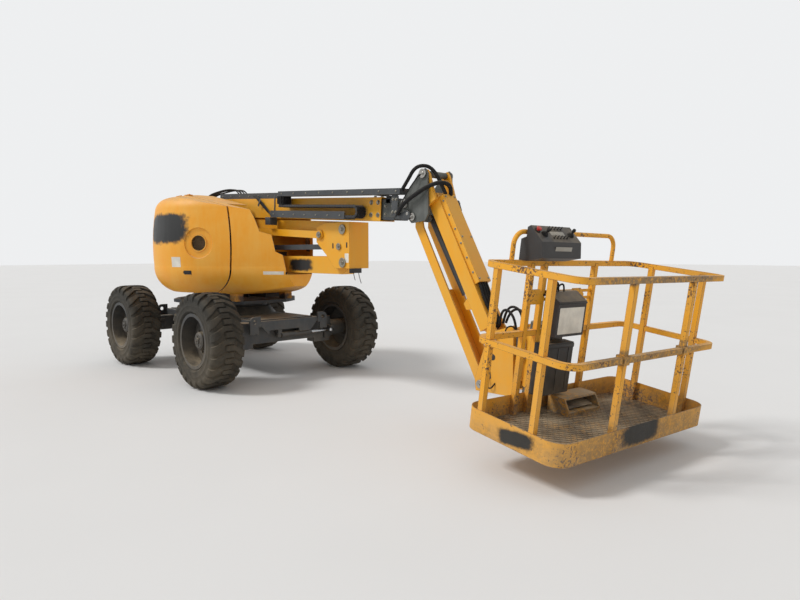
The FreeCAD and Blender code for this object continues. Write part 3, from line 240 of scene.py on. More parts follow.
def build_edge_wear():
    """Paint rubbed off sharp edges: where a rounded normal leaves the true one, broken up by noise."""
    tree, takes, gives = group_sockets("edge_wear", (
        ("Radius", "NodeSocketFloat", 0.006),
        ("Breakup", "NodeSocketFloat", 22.0),
        ("Amount", "NodeSocketFloat", 0.5)), ("Mask",))
    rounded = tree.nodes.new("ShaderNodeBevel")
    rounded.samples = 4
    tree.links.new(takes["Radius"], rounded.inputs["Radius"])
    true_normal = tree.nodes.new("ShaderNodeNewGeometry").outputs["Normal"]
    dot = tree.nodes.new("ShaderNodeVectorMath")
    dot.operation = "DOT_PRODUCT"
    tree.links.new(rounded.outputs["Normal"], dot.inputs[0])
    tree.links.new(true_normal, dot.inputs[1])
    edge = ramp(tree, maths(tree, "SUBTRACT", 1.0, dot.outputs["Value"]), 0.02, 0.25)
    patches = noise(tree, object_place(tree), takes["Breakup"], 5.0, 0.65)
    threshold = maths(tree, "SUBTRACT", 1.0, takes["Amount"])
    broken = maths(tree, "SUBTRACT", sum_of(tree, patches, edge), sum_of(tree, threshold, 0.5))
    feed(tree, ramp(tree, product(tree, broken, edge), 0.0, 0.12), gives["Mask"])


def build_paint_chips():
    """Chips and scabs: small noise islands that show where broad noise is high."""
    tree, takes, gives = group_sockets("paint_chips", (
        ("Scale", "NodeSocketFloat", 30.0),
        ("Spread", "NodeSocketFloat", 1.5),
        ("Amount", "NodeSocketFloat", 0.3)), ("Mask",))
    place = object_place(tree)
    fine = noise(tree, place, takes["Scale"], 6.0, 0.7)
    broad = noise(tree, place, takes["Spread"], 2.0, 0.5)
    level = sum_of(tree, fine, product(tree, broad, 0.55))
    limit = maths(tree, "SUBTRACT", 1.16, product(tree, takes["Amount"], 0.4))
    over = maths(tree, "SUBTRACT", level, limit)
    feed(tree, ramp(tree, over, 0.0, 0.035), gives["Mask"])


def build_settled_dust():
    """Dust: on faces that look up, and on everything low down, in drifts."""
    tree, takes, gives = group_sockets("settled_dust", (
        ("Top", "NodeSocketFloat", 0.5),
        ("Low", "NodeSocketFloat", 0.5),
        ("Reach", "NodeSocketFloat", 0.9)), ("Mask",))
    place = object_place(tree)
    normal = split(tree, tree.nodes.new("ShaderNodeNewGeometry").outputs["Normal"])
    drifts = noise(tree, place, 5.0, 6.0, 0.62)
    facing_up = ramp(tree, normal["Z"], 0.25, 0.98)
    top = product(tree, facing_up, takes["Top"], ramp(tree, drifts, 0.25, 0.7))
    height = split(tree, place)["Z"]
    near_ground = ramp(tree, height, takes["Reach"], 0.0)
    low = product(tree, near_ground, takes["Low"], ramp(tree, drifts, 0.2, 0.65))
    feed(tree, maths(tree, "ADD", top, low, clamp=True), gives["Mask"])


def build_fine_grain():
    """A fine orange-peel or casting grain, as a height."""
    tree, takes, gives = group_sockets("fine_grain", (
        ("Scale", "NodeSocketFloat", 300.0),
        ("Ripple", "NodeSocketFloat", 12.0)), ("Height",))
    place = object_place(tree)
    fine = noise(tree, place, takes["Scale"], 2.0, 0.5)
    broad = noise(tree, place, takes["Ripple"], 2.0, 0.5)
    feed(tree, sum_of(tree, product(tree, fine, 0.4), broad), gives["Height"])


def build_faded_paint():
    """Sun-bleached and streaked areas: broad noise drawn out downwards."""
    tree, takes, gives = group_sockets("faded_paint", (
        ("Scale", "NodeSocketFloat", 3.0),
        ("Streaks", "NodeSocketFloat", 18.0)), ("Mask",))
    place = object_place(tree)
    broad = noise(tree, place, takes["Scale"], 4.0, 0.6)
    streak_place = scaled_place(tree, place, (1.0, 1.0, 0.12))
    streaks = noise(tree, streak_place, takes["Streaks"], 4.0, 0.6)
    level = sum_of(tree, product(tree, broad, 0.65), product(tree, streaks, 0.35))
    feed(tree, ramp(tree, level, 0.35, 0.68), gives["Mask"])


def build_spray_patch():
    """A patch in a box with round corners, whose rim noise breaks up.

    The distance is the fourth root of the sum of each offset's fourth power, in half sizes of the box.
    """
    tree, takes, gives = group_sockets("spray_patch", (
        ("Centre", "NodeSocketVector", (0.0, 0.0, 0.0)),
        ("Radii", "NodeSocketVector", (0.2, 0.2, 0.2)),
        ("Softness", "NodeSocketFloat", 0.25)), ("Mask",))
    place = object_place(tree)
    offset = tree.nodes.new("ShaderNodeVectorMath")
    offset.operation = "SUBTRACT"
    tree.links.new(place, offset.inputs[0])
    tree.links.new(takes["Centre"], offset.inputs[1])
    share = tree.nodes.new("ShaderNodeVectorMath")
    share.operation = "DIVIDE"
    tree.links.new(offset.outputs[0], share.inputs[0])
    tree.links.new(takes["Radii"], share.inputs[1])
    parts = split(tree, share.outputs[0])
    fourth = [maths(tree, "POWER", maths(tree, "ABSOLUTE", parts[axis]), 4.0) for axis in ("X", "Y", "Z")]
    length = maths(tree, "POWER", sum_of(tree, *fourth), 0.25)
    ragged = product(tree, maths(tree, "SUBTRACT", noise(tree, place, 16.0, 5.0, 0.65), 0.5), 0.55)
    distance = maths(tree, "ADD", length, ragged)
    inner = maths(tree, "SUBTRACT", 1.0, takes["Softness"])
    outer = sum_of(tree, 1.0, product(tree, takes["Softness"], 0.3))
    feed(tree, maths(tree, "SUBTRACT", 1.0, ramp(tree, distance, inner, outer)), gives["Mask"])


def build_effects():
    """All shared effects."""
    for build in (build_edge_wear, build_paint_chips, build_settled_dust, build_fine_grain,
                  build_faded_paint, build_spray_patch):
        build()


def effect(tree, name, **values):
    """Places a shared effect in a material and gives its output socket."""
    node = tree.nodes.new("ShaderNodeGroup")
    node.node_tree = bpy.data.node_groups[name]
    for label, value in values.items():
        feed(tree, value, node.inputs[label.capitalize()])
    return node.outputs[0]


def bump(tree, shader, height, distance, strength=1.0):
    """Raises the surface by a height."""
    node = tree.nodes.new("ShaderNodeBump")
    node.inputs["Distance"].default_value = distance
    node.inputs["Strength"].default_value = strength
    tree.links.new(height, node.inputs["Height"])
    tree.links.new(node.outputs["Normal"], shader.inputs["Normal"])


# Finishes of the surfaces
BARE_STEEL = linear(120, 116, 110)
PRIMER = linear(92, 82, 70)
BLACK_SPRAY = linear(26, 26, 25)

# Name, colour setting, faded colour, roughness, dust on tops, dust low down, chips, edge wear, layer below
PAINTS = (
    ("boom_paint", "yellow", linear(226, 176, 74), 0.38, 0.45, 0.25, 0.10, 0.45, "rust"),
    ("platform_paint", "yellow", linear(206, 156, 76), 0.56, 0.40, 0.40, 0.72, 1.05, "rust"),
    ("pedal_paint", "yellow", linear(150, 132, 96), 0.60, 0.55, 0.55, 0.78, 1.20, "steel"),
    ("hood_moulding", "orange", linear(240, 186, 84), 0.42, 0.62, 0.10, 0.04, 0.20, "steel"),
    ("link_paint", "dark", linear(84, 86, 86), 0.46, 0.60, 0.30, 0.18, 0.45, "steel"),
    ("chassis_paint", "grey", linear(98, 99, 92), 0.58, 0.80, 0.75, 0.20, 0.45, "rust"),
    ("head_paint", "grey", linear(128, 130, 126), 0.48, 0.45, 0.25, 0.16, 0.55, "steel"),
)

# Paint, then centre, half sizes and softness of each sprayed patch
SPRAYS = {
    "hood_moulding": (((0.070, -0.930, 1.775), (0.430, 0.300, 0.190), 0.22),),
    "boom_paint": (((1.580, -0.080, 1.350), (0.235, 0.120, 0.075), 0.30),),
    "platform_paint": (
        ((5.125, -0.930, 0.312), (0.160, 0.160, 0.056), 0.30),
        ((5.558, -0.119, 0.277), (0.070, 0.250, 0.088), 0.30)),
}

# Paint, then the grain and the spread of its chips
CHIP_GRAIN = {"platform_paint": (52.0, 4.0), "pedal_paint": (52.0, 9.0)}
USUAL_CHIP_GRAIN = (30.0, 1.5)

# Paint, then centre, half sizes, colour and strength of each zone that tints the paint: grime, and on the
# platform's front rails grey-brown that is partly wear and partly painted shade
GRIME_AND_SHADE = {
    "platform_paint": (
        ((5.15, 0.0, 0.20), (0.60, 1.10, 0.20), linear(122, 90, 48), 0.80),
        # Front top rail and front mid rail: grey-brown that is partly wear and partly painted shade on their
        # shaded front side
        ((5.68, -0.10, 1.330), (0.17, 0.86, 0.060), linear(116, 100, 78), 0.92),
        ((5.61, -0.10, 0.823), (0.17, 0.86, 0.055), linear(120, 98, 66), 0.88),
        ((4.82, 0.0, 0.30), (0.16, 0.80, 0.14), linear(112, 74, 38), 0.60)),
    # On the covers: an unbroken near-black band low at the front, where they curve under
    "hood_moulding": (((0.63, 0.0, 0.925), (0.14, 0.46, 0.062), linear(40, 42, 44), 1.0),),
    "pedal_paint": (((5.0, 0.15, 0.25), (0.30, 0.30, 0.20), linear(78, 72, 58), 0.90),),
}
FLOOR_GRIME = linear(84, 70, 54)


def painted(name, base, fade, roughness, dust_top, dust_low, chips, edges, under, patches=()):
    """Worn paint: faded, chipped to primer or rust, rubbed at edges, dusty, with any sprayed patches."""
    finishes = bpy.context.scene.lift_finishes
    material, tree, shader = new_material(name)
    wear = finishes.wear
    faded = effect(tree, "faded_paint")
    colour = blend_colour(tree, product(tree, faded, 0.55), base, fade)
    place = object_place(tree)
    # Zones of grime, and on the platform's front rails painted shade mixed with wear
    for centre, radii, grime_and_shade_tint, strength in GRIME_AND_SHADE.get(name, ()):
        grime_and_shade_zone = effect(tree, "spray_patch", centre=centre, radii=radii, softness=0.35)
        if strength < 1.0:
            grime_and_shade_zone = product(tree, grime_and_shade_zone, ramp(tree, noise(tree, place, 40.0, 8.0, 0.75), 0.30, 0.58))
        colour = blend_colour(tree, product(tree, grime_and_shade_zone, strength), colour, grime_and_shade_tint)
    grain, spread = CHIP_GRAIN.get(name, USUAL_CHIP_GRAIN)
    chipped = effect(tree, "paint_chips", amount=chips * wear, scale=grain, spread=spread)
    rubbed = effect(tree, "edge_wear", amount=edges * wear)
    below = tuple(finishes.rust) if under == "rust" else BARE_STEEL
    below = blend_colour(tree, noise(tree, place, 60.0), below, PRIMER)
    bare = maths(tree, "MAXIMUM", chipped, rubbed)
    colour = blend_colour(tree, bare, colour, below)
    sprayed = 0.0
    for centre, radii, softness in patches:
        patch = effect(tree, "spray_patch", centre=centre, radii=radii, softness=softness)
        colour = blend_colour(tree, patch, colour, BLACK_SPRAY)
        sprayed = maths(tree, "MAXIMUM", sprayed, patch)
    if name == "platform_paint":
        colour = blend_colour(tree, floor_mask(tree, place), colour, FLOOR_GRIME)
    dust = effect(tree, "settled_dust", top=dust_top, low=dust_low)
    if patches:
        dust = product(tree, dust, maths(tree, "SUBTRACT", 1.0, product(tree, sprayed, 0.85)))
    colour = blend_colour(tree, dust, colour, tuple(finishes.dust))
    tree.links.new(colour, shader.inputs["Base Color"])
    rough = blend_value(tree, bare, blend_value(tree, faded, roughness, roughness + 0.15), 0.72)
    tree.links.new(blend_value(tree, dust, rough, 0.92), shader.inputs["Roughness"])
    height = maths(tree, "SUBTRACT", product(tree, effect(tree, "fine_grain"), 0.35), bare)
    bump(tree, shader, height, 0.0006, 0.6)
    return material


def floor_mask(tree, place):
    """One on upward faces low in the platform's tray, thinned by noise."""
    normal = split(tree, tree.nodes.new("ShaderNodeNewGeometry").outputs["Normal"])
    upward = ramp(tree, normal["Z"], 0.80, 0.95)
    low = ramp(tree, split(tree, place)["Z"], 0.36, 0.33)
    worn = ramp(tree, noise(tree, place, 7.0, 7.0, 0.7), 0.34, 0.56)
    return product(tree, upward, low, worn)


def rubber(name, base, dusty, reach):
    """Black rubber: mottled, scuffed, with dust packed low and on its faces."""
    finishes = bpy.context.scene.lift_finishes
    material, tree, shader = new_material(name)
    place = object_place(tree)
    mottle = ramp(tree, noise(tree, place, 9.0, 6.0, 0.65), 0.3, 0.7)
    colour = blend_colour(tree, mottle, base, tuple(channel * 1.8 for channel in base))
    scuffs = ramp(tree, noise(tree, scaled_place(tree, place, (1.0, 1.0, 3.0)), 40.0, 5.0, 0.7), 0.55, 0.72)
    dust = effect(tree, "settled_dust", top=dusty, low=dusty, reach=reach)
    dust = maths(tree, "MAXIMUM", dust, product(tree, scuffs, dusty * 0.8))
    colour = blend_colour(tree, product(tree, dust, 0.75), colour, tuple(finishes.dust))
    tree.links.new(colour, shader.inputs["Base Color"])
    shader.inputs["Roughness"].default_value = 0.86
    shader.inputs["Specular IOR Level"].default_value = 0.35
    bump(tree, shader, effect(tree, "fine_grain", scale=160.0, ripple=34.0), 0.0015, 0.7)
    return material


def bright_metal(name, base, roughness, stain):
    """Chromed or ground steel with dull stains."""
    finishes = bpy.context.scene.lift_finishes
    material, tree, shader = new_material(name)
    place = object_place(tree)
    stains = ramp(tree, noise(tree, place, 26.0, 6.0, 0.65), 0.50, 0.74)
    stained = product(tree, stains, stain)
    colour = blend_colour(tree, stained, base, tuple(finishes.rust))
    tree.links.new(colour, shader.inputs["Base Color"])
    tree.links.new(maths(tree, "SUBTRACT", 1.0, stained, clamp=True), shader.inputs["Metallic"])
    tree.links.new(blend_value(tree, stained, roughness, 0.7), shader.inputs["Roughness"])
    bump(tree, shader, effect(tree, "fine_grain", scale=420.0, ripple=60.0), 0.0003, 0.5)
    return material


def moulded(name, base, roughness, grain=260.0):
    """Moulded plastic or powder coat with a leathery grain and light dust."""
    finishes = bpy.context.scene.lift_finishes
    material, tree, shader = new_material(name)
    place = object_place(tree)
    tone = ramp(tree, noise(tree, place, 7.0, 5.0, 0.6), 0.3, 0.75)
    colour = blend_colour(tree, tone, base, tuple(channel * 1.35 + 0.004 for channel in base))
    dust = effect(tree, "settled_dust", top=0.55, low=0.35)
    colour = blend_colour(tree, dust, colour, tuple(finishes.dust))
    tree.links.new(colour, shader.inputs["Base Color"])
    tree.links.new(blend_value(tree, dust, roughness, 0.9), shader.inputs["Roughness"])
    bump(tree, shader, effect(tree, "fine_grain", scale=grain, ripple=20.0), 0.0008, 0.5)
    return material


# Material slot of the record, finish that it takes
SLOT_FINISHES = {
    "yellow": "boom_paint",
    "orange": "hood_moulding",
    "dark_paint": "link_paint",
    "grey_paint": "chassis_paint",
    "black_paint": "link_paint",
    "cylinder": "cylinder_coat",
    "chrome": "chrome_rod",
    "tyre": "tyre_rubber",
    "rim": "rim_coat",
    "iron": "cast_iron",
    "box_plastic": "console_plastic",
    "chain": "chain_plastic",
}

# Nodes whose finish differs from their slot's
NODE_FINISHES = {
    "boom_head": "head_paint",
    "basket_tray": "platform_paint",
    "basket_rails": "platform_paint",
    "entry_bar": "platform_paint",
    "document_box": "black_plastic",
    "foot_pedal": "pedal_paint",
}


def build_finishes():
    """Every material of the lift, by name."""
    finishes = bpy.context.scene.lift_finishes
    for name, setting, fade, rough, top, low, chips, edges, under in PAINTS:
        base = tuple(getattr(finishes, setting))
        painted(name, base, fade, rough, top, low, chips, edges, under, SPRAYS.get(name, ()))
    rubber("tyre_rubber", linear(36, 35, 32), 0.24, 1.2)
    rubber("hose_rubber", linear(22, 22, 23), 0.25, 0.3)
    bright_metal("chrome_rod", linear(196, 198, 200), 0.14, 0.25)
    bright_metal("pin_steel", linear(168, 166, 160), 0.34, 0.45)
    bright_metal("zinc_bolt", linear(150, 146, 134), 0.42, 0.55)
    moulded("worn_nut", linear(62, 60, 56), 0.50, 300.0)
    moulded("cylinder_coat", linear(44, 46, 48), 0.34, 420.0)
    moulded("rim_coat", linear(46, 46, 46), 0.50)
    moulded("cast_iron", linear(58, 58, 56), 0.62, 140.0)
    moulded("console_plastic", linear(44, 42, 41), 0.50)
    # Black plastic; also the black of the sheets painted as shade in the knuckle's slots and the bracket's
    # openings
    moulded("black_plastic", linear(24, 24, 25), 0.44)
    moulded("chain_plastic", linear(30, 31, 33), 0.42)
    moulded("grey_box", linear(118, 120, 120), 0.50)
    moulded("label_film", linear(214, 210, 198), 0.40, 600.0)
    moulded("worn_plate", linear(150, 146, 136), 0.46, 600.0)
    moulded("worn_floor", linear(66, 58, 48), 0.70, 300.0)
    moulded("grubby_mesh", linear(92, 74, 50), 0.74, 300.0)
    moulded("stop_red", linear(168, 30, 22), 0.36, 500.0)


class LIFT_OT_finishes(bpy.types.Operator):
    """Builds the shared effects and materials and gives every part of the frame its finish"""

    bl_idname = "lift.finishes"
    bl_label = "Finishes"

    def execute(self, context):
        build_effects()
        build_finishes()
        for name, part in NODES.items():
            slot = part_slot(name)
            finish = NODE_FINISHES.get(name, SLOT_FINISHES[slot])
            part.data.materials.clear()
            part.data.materials.append(bpy.data.materials[finish])
        return {"FINISHED"}


def part_slot(name):
    """The record's material slot of a part."""
    for part in frame["record"]["subparts"]:
        if part["node"] == name:
            return part["material_slot"]
    raise RuntimeError("no material slot holds " + name)


# Places on the lift, as the solids have them
BOOM_PIVOT = (-0.700, 2.108)
BOOM_ANGLE = -3.2
JIB_PIVOT = (3.571, 2.180)
JIB_ANGLE = -61.5
ROTATOR_FOOT = (4.607, 0.3045)
BASKET_TILT = 7.3
BASKET_YAW = -6.35
ROTATOR_REACH = 0.550
AXIS_X = (1.0, 0.0, 0.0)
AXIS_Y = (0.0, 1.0, 0.0)
AXIS_Z = (0.0, 0.0, 1.0)
TO_FRONT = AXIS_X
TO_LEFT = AXIS_Y
TO_RIGHT = (0.0, -1.0, 0.0)


def turn_about(axis, angle):
    """Turning matrix about a unit axis: cosine on the axis' plane, sine on its cross product."""
    x, y, z = axis
    c = math.cos(math.radians(angle))
    s = math.sin(math.radians(angle))
    cross = np.array([[0.0, -z, y], [z, 0.0, -x], [-y, x, 0.0]])
    return c * np.eye(3) + s * cross + (1 - c) * np.outer(axis, axis)


def frame_matrix(turn=None, place=(0.0, 0.0, 0.0)):
    """A four by four matrix of a turn and a place."""
    matrix = np.eye(4)
    if turn is not None:
        matrix[:3, :3] = turn
    matrix[:3, 3] = place
    return matrix


def placed(x, y, z):
    """A matrix that only moves."""
    return frame_matrix(None, (x, y, z))


def raised_frame(pivot, angle):
    """The frame of an arm drawn along +X from its pivot and raised by an angle."""
    return frame_matrix(turn_about((0.0, -1.0, 0.0), angle), (pivot[0], 0.0, pivot[1]))


BOOM_FRAME = raised_frame(BOOM_PIVOT, BOOM_ANGLE)
JIB_FRAME = raised_frame(JIB_PIVOT, JIB_ANGLE)
ROTATOR_FRAME = frame_matrix(turn_about(AXIS_Y, BASKET_TILT), (ROTATOR_FOOT[0], 0.0, ROTATOR_FOOT[1]))
BASKET_FRAME = ROTATOR_FRAME @ frame_matrix(turn_about(AXIS_Z, BASKET_YAW)) @ placed(ROTATOR_REACH, 0.0, 0.0)


# Forms: a form is an array of points with a list of faces, each a tuple of point numbers
def moved(form, matrix):
    """A form carried by a matrix."""
    points, faces = form
    return points @ matrix[:3, :3].T + matrix[:3, 3], faces


def joined(forms):
    """Several forms as one, their point numbers shifted along."""
    points = []
    faces = []
    count = 0
    for some_points, some_faces in forms:
        points.append(some_points)
        faces.extend(tuple(number + count for number in face) for face in some_faces)
        count += len(some_points)
    return np.concatenate(points), faces


def repeated(form, matrices):
    """Copies of a form, one for each matrix."""
    return joined([moved(form, matrix) for matrix in matrices])


def facing(place, normal, spin=0.0):
    """A matrix whose Z axis follows a normal at a place, turned about it by a spin."""
    z = np.array(normal, dtype=float)
    z /= np.linalg.norm(z)
    guide = np.array([0.0, 0.0, 1.0]) if abs(z[2]) < 0.9 else np.array([1.0, 0.0, 0.0])
    x = np.cross(guide, z)
    x /= np.linalg.norm(x)
    turn = np.stack([x, np.cross(z, x), z], axis=1)
    return frame_matrix(turn @ turn_about(AXIS_Z, spin), place)


def grid_faces(rows, columns, close_rows=False, close_columns=False):
    """Quads between neighbouring points of a grid, numbered row by row."""
    row = np.arange(rows if close_rows else rows - 1)
    column = np.arange(columns if close_columns else columns - 1)
    i, j = np.meshgrid(row, column, indexing="ij")
    here = i * columns + j
    right = i * columns + (j + 1) % columns
    below = ((i + 1) % rows) * columns + j
    across = ((i + 1) % rows) * columns + (j + 1) % columns
    quads = np.stack([here, right, across, below], axis=-1).reshape(-1, 4)
    return [tuple(quad) for quad in quads.tolist()]


def lathed(profile, sides=24):
    """A closed turned form: each (radius, height) of the profile carried round the Z axis, flat ends."""
    turns = np.linspace(0.0, 2 * math.pi, sides, endpoint=False)
    profile = np.array(profile)
    points = np.stack([profile[:, :1] * np.cos(turns), profile[:, :1] * np.sin(turns),
                       np.repeat(profile[:, 1:], sides, axis=1)], axis=-1).reshape(-1, 3)
    faces = grid_faces(len(profile), sides, close_columns=True)
    last = (len(profile) - 1) * sides
    faces.append(tuple(range(sides - 1, -1, -1)))
    faces.append(tuple(range(last, last + sides)))
    return points, faces


def ring_form(profile, sides=48):
    """A closed ring: a closed (radius, height) profile carried round the Z axis."""
    turns = np.linspace(0.0, 2 * math.pi, sides, endpoint=False)
    profile = np.array(profile)
    points = np.stack([profile[:, :1] * np.cos(turns), profile[:, :1] * np.sin(turns),
                       np.repeat(profile[:, 1:], sides, axis=1)], axis=-1).reshape(-1, 3)
    return points, grid_faces(len(profile), sides, close_rows=True, close_columns=True)


def rounded_outline(length, width, corner, steps=5):
    """A rectangle about the origin whose corners are quarter circles, anticlockwise."""
    a = length / 2 - corner
    b = width / 2 - corner
    angles = np.linspace(0.0, math.pi / 2, steps)
    points = []
    for index, (x, y) in enumerate(((a, b), (-a, b), (-a, -b), (a, -b))):
        turn = angles + index * math.pi / 2
        points.append(np.stack([x + corner * np.cos(turn), y + corner * np.sin(turn)], axis=-1))
    return np.concatenate(points)


def inset_outline(outline, inset):
    """An outline moved inwards: each point steps along the mean of its neighbours' edge normals."""
    before = outline - np.roll(outline, 1, axis=0)
    after = np.roll(outline, -1, axis=0) - outline
    before /= np.linalg.norm(before, axis=1, keepdims=True)
    after /= np.linalg.norm(after, axis=1, keepdims=True)
    mean = before + after
    mean /= np.linalg.norm(mean, axis=1, keepdims=True)
    inward = np.stack([-mean[:, 1], mean[:, 0]], axis=-1)
    half_turn = np.sum(before * mean, axis=1, keepdims=True)
    return outline + inward * inset / np.maximum(half_turn, 0.3)


def slab(outline, thickness, edge=0.0015):
    """A plate on an anticlockwise outline from z 0 up, its top and bottom edges rounded off."""
    outline = np.array(outline, dtype=float)
    levels = ((edge, 0.0), (edge * 0.3, edge * 0.3), (0.0, edge), (0.0, thickness - edge),
              (edge * 0.3, thickness - edge * 0.3), (edge, thickness))
    rows = []
    for inset, height in levels:
        row = inset_outline(outline, inset)
        rows.append(np.column_stack([row, np.full(len(row), height)]))
    count = len(outline)
    faces = grid_faces(len(rows), count, close_columns=True)
    last = (len(rows) - 1) * count
    faces.append(tuple(range(count - 1, -1, -1)))
    faces.append(tuple(range(last, last + count)))
    return np.concatenate(rows), faces


def hex_bolt(across=0.019, height=0.0085, washer=0.0):
    """A bolt's head: a hexagon whose corners are trimmed by a cone, on a washer of a given radius."""
    turns = np.linspace(0.0, 2 * math.pi, 24, endpoint=False)
    sector = np.mod(turns, math.pi / 3) - math.pi / 6
    corner = across / 2 / np.cos(sector)
    base = 0.0028 if washer else 0.0
    top = base + height
    rows = [(corner, base), (corner, base + height * 0.78), (np.minimum(corner, across * 0.505), top),
            (np.full(24, across * 0.22), top)]
    points = np.concatenate([
        np.stack([radius * np.cos(turns), radius * np.sin(turns), np.full(24, level)], axis=-1)
        for radius, level in rows])
    faces = grid_faces(4, 24, close_columns=True)
    faces.append(tuple(range(23, -1, -1)))
    faces.append(tuple(range(72, 96)))
    head = (points, faces)
    if not washer:
        return head
    disc = lathed(((washer - 0.001, 0.0), (washer, 0.0008), (washer, 0.0022), (washer - 0.001, 0.003)), 28)
    return joined([disc, head])


def circle_places(radius, count, height=0.0, start=0.0):
    """Matrices evenly round the Z axis at a radius, each with its Z axis up."""
    turns = np.radians(start) + np.linspace(0.0, 2 * math.pi, count, endpoint=False)
    return [frame_matrix(None, (radius * math.cos(turn), radius * math.sin(turn), height)) for turn in turns]


def make_piece(name, form, finish, body, smooth=40.0):
    """Puts a form into a mesh object, with its finish, its body if any and smooth shading under an angle."""
    points, faces = form
    mesh = bpy.data.meshes.new(name)
    mesh.from_pydata(points.tolist(), [], faces)
    mesh.materials.append(bpy.data.materials[finish])
    mesh.update()
    if smooth:
        mesh.shade_smooth()
        mesh.set_sharp_from_angle(angle=math.radians(smooth))
    piece = bpy.data.objects.new(name, mesh)
    bpy.context.scene.collection.objects.link(piece)
    if body:
        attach(piece, body)
    return piece


def make_hose(name, routes, radius, body, finish="hose_rubber"):
    """Hoses as round smooth curves that take each route's points as their control points."""
    curve = bpy.data.curves.new(name, "CURVE")
    curve.dimensions = "3D"
    curve.bevel_depth = radius
    curve.bevel_resolution = 3
    curve.resolution_u = 8
    curve.use_fill_caps = True
    for route in routes:
        line = curve.splines.new("NURBS")
        line.points.add(len(route) - 1)
        line.points.foreach_set("co", np.column_stack([np.array(route), np.ones(len(route))]).ravel())
        line.order_u = 3
        line.use_endpoint_u = True
    curve.materials.append(bpy.data.materials[finish])
    hose = bpy.data.objects.new(name, curve)
    bpy.context.scene.collection.objects.link(hose)
    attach(hose, body)
    return hose


def carried(route, matrix):
    """A route's points carried by a matrix."""
    return np.array(route) @ matrix[:3, :3].T + matrix[:3, 3]


# Tyres and wheels
TYRE_RADIUS = 0.527
TYRE_HALF = 0.191
LUGS_PER_ROW = 23
WHEELS = (
    ("front_left", 1.05, 0.959),
    ("front_right", 1.05, -0.959),
    ("rear_left", -1.05, 0.959),
    ("rear_right", -1.05, -0.959),
)


def smooth_step(value, low, high):
    """Nought below low, one above high, and three squares less two cubes between."""
    share = np.clip((value - low) / (high - low), 0.0, 1.0)
    return share * share * (3.0 - 2.0 * share)


def tyre_section():
    """The carcass from one bead over the tread to the other, with its outward directions.

    Each row holds the radius, the offset from the middle and the height that a lug has there.
    """
    half = np.array([
        (0.503, 0.0, 0.024), (0.503, 0.006, 0.024), (0.503, 0.012, 0.024), (0.5029, 0.022, 0.024),
        (0.5027, 0.032, 0.024), (0.5024, 0.044, 0.0242), (0.502, 0.052, 0.0244), (0.5018, 0.058, 0.0245),
        (0.5012, 0.07, 0.0248), (0.5006, 0.084, 0.025), (0.4998, 0.1, 0.025), (0.4988, 0.116, 0.025),
        (0.4975, 0.13, 0.0242), (0.495, 0.143, 0.0225), (0.49, 0.154, 0.0205), (0.483, 0.163, 0.019),
        (0.474, 0.1695, 0.017), (0.465, 0.1735, 0.015), (0.455, 0.1765, 0.0125), (0.445, 0.1785, 0.009),
        (0.436, 0.1797, 0.004), (0.428, 0.1806, 0.0), (0.415, 0.182, 0.0), (0.398, 0.1835, 0.0),
        (0.393, 0.1862, 0.0), (0.387, 0.1864, 0.0), (0.3825, 0.184, 0.0), (0.365, 0.1838, 0.0),
        (0.347, 0.1825, 0.0), (0.34, 0.1852, 0.0), (0.332, 0.185, 0.0), (0.324, 0.179, 0.0),
        (0.317, 0.169, 0.0), (0.3115, 0.159, 0.0), (0.3, 0.1548, 0.0), (0.2866, 0.1548, 0.0)])
    other = half[:0:-1] * (1.0, -1.0, 1.0)
    section = np.concatenate([other, half])
    along = np.gradient(section[:, :2], axis=0)
    outward = np.stack([along[:, 1], -along[:, 0]], axis=-1)
    outward /= np.linalg.norm(outward, axis=1, keepdims=True)
    return section, outward


def lug_mask(turn, offset):
    """One on a lug and nought in a groove: lugs of each side cross the middle, half a pitch apart, and widen
    towards their own shoulder; their centre line is the grid's own, which the shear has turned already."""
    mask = np.zeros_like(turn)
    for side, shift in ((1.0, 0.0), (-1.0, 0.5)):
        reach = offset * side
        width = 0.195 + 0.115 * smooth_step(reach, 0.045, 0.150)
        away = np.abs(np.mod(turn - shift + 0.5, 1.0) - 0.5)
        across = 1.0 - smooth_step(away, width - 0.022, width + 0.022)
        inner = smooth_step(reach, -0.050, -0.040)
        mask = np.maximum(mask, across * inner)
    return mask


def tyre_form():
    """A tyre about the Y axis: the section carried round, pushed out by the lugs' height where a lug is.

    Each ring of points is turned by a shear that grows from the middle to the shoulders, so that the
    chevron of the lugs runs along the grid's lines.
    """
    section, outward = tyre_section()
    steps = LUGS_PER_ROW * 28
    turn = np.arange(steps)[None, :] * (LUGS_PER_ROW / steps)
    offset = section[:, 1:2]
    spread = np.clip((np.abs(offset) - 0.052) / (TYRE_HALF - 0.052), 0.0, None)
    shear = 0.72 * spread ** 0.9 * (section[:, 0:1] > 0.43) + 0.72 * (section[:, 0:1] <= 0.43)
    mask = lug_mask(np.broadcast_to(turn, (len(section), steps)), offset)
    height = section[:, 2:3] * mask
    radius = np.minimum(section[:, 0:1] + outward[:, 0:1] * height, TYRE_RADIUS - 0.0002)
    side = np.clip(offset + outward[:, 1:2] * height, 0.0005 - TYRE_HALF, TYRE_HALF - 0.0005)
    angle = (turn + shear) * (2 * math.pi / LUGS_PER_ROW)
    points = np.stack([radius * np.sin(angle), side, radius * np.cos(angle)], axis=-1).reshape(-1, 3)
    return points, grid_faces(len(section), steps, close_rows=True, close_columns=True)


class LIFT_OT_tyres(bpy.types.Operator):
    """Four tyres whose chunky lugs cross the middle of the tread and turn back at the shoulders"""

    bl_idname = "lift.tyres"
    bl_label = "Tyres"

    def execute(self, context):
        points, faces = tyre_form()
        for name, x, y in WHEELS:
            form = (points + np.array([x, y, TYRE_RADIUS]), faces)
            tyre = make_piece("tread_" + name, form, "tyre_rubber", "wheel_" + name, smooth=55.0)
            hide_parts("tyre_" + name)
        return {"FINISHED"}


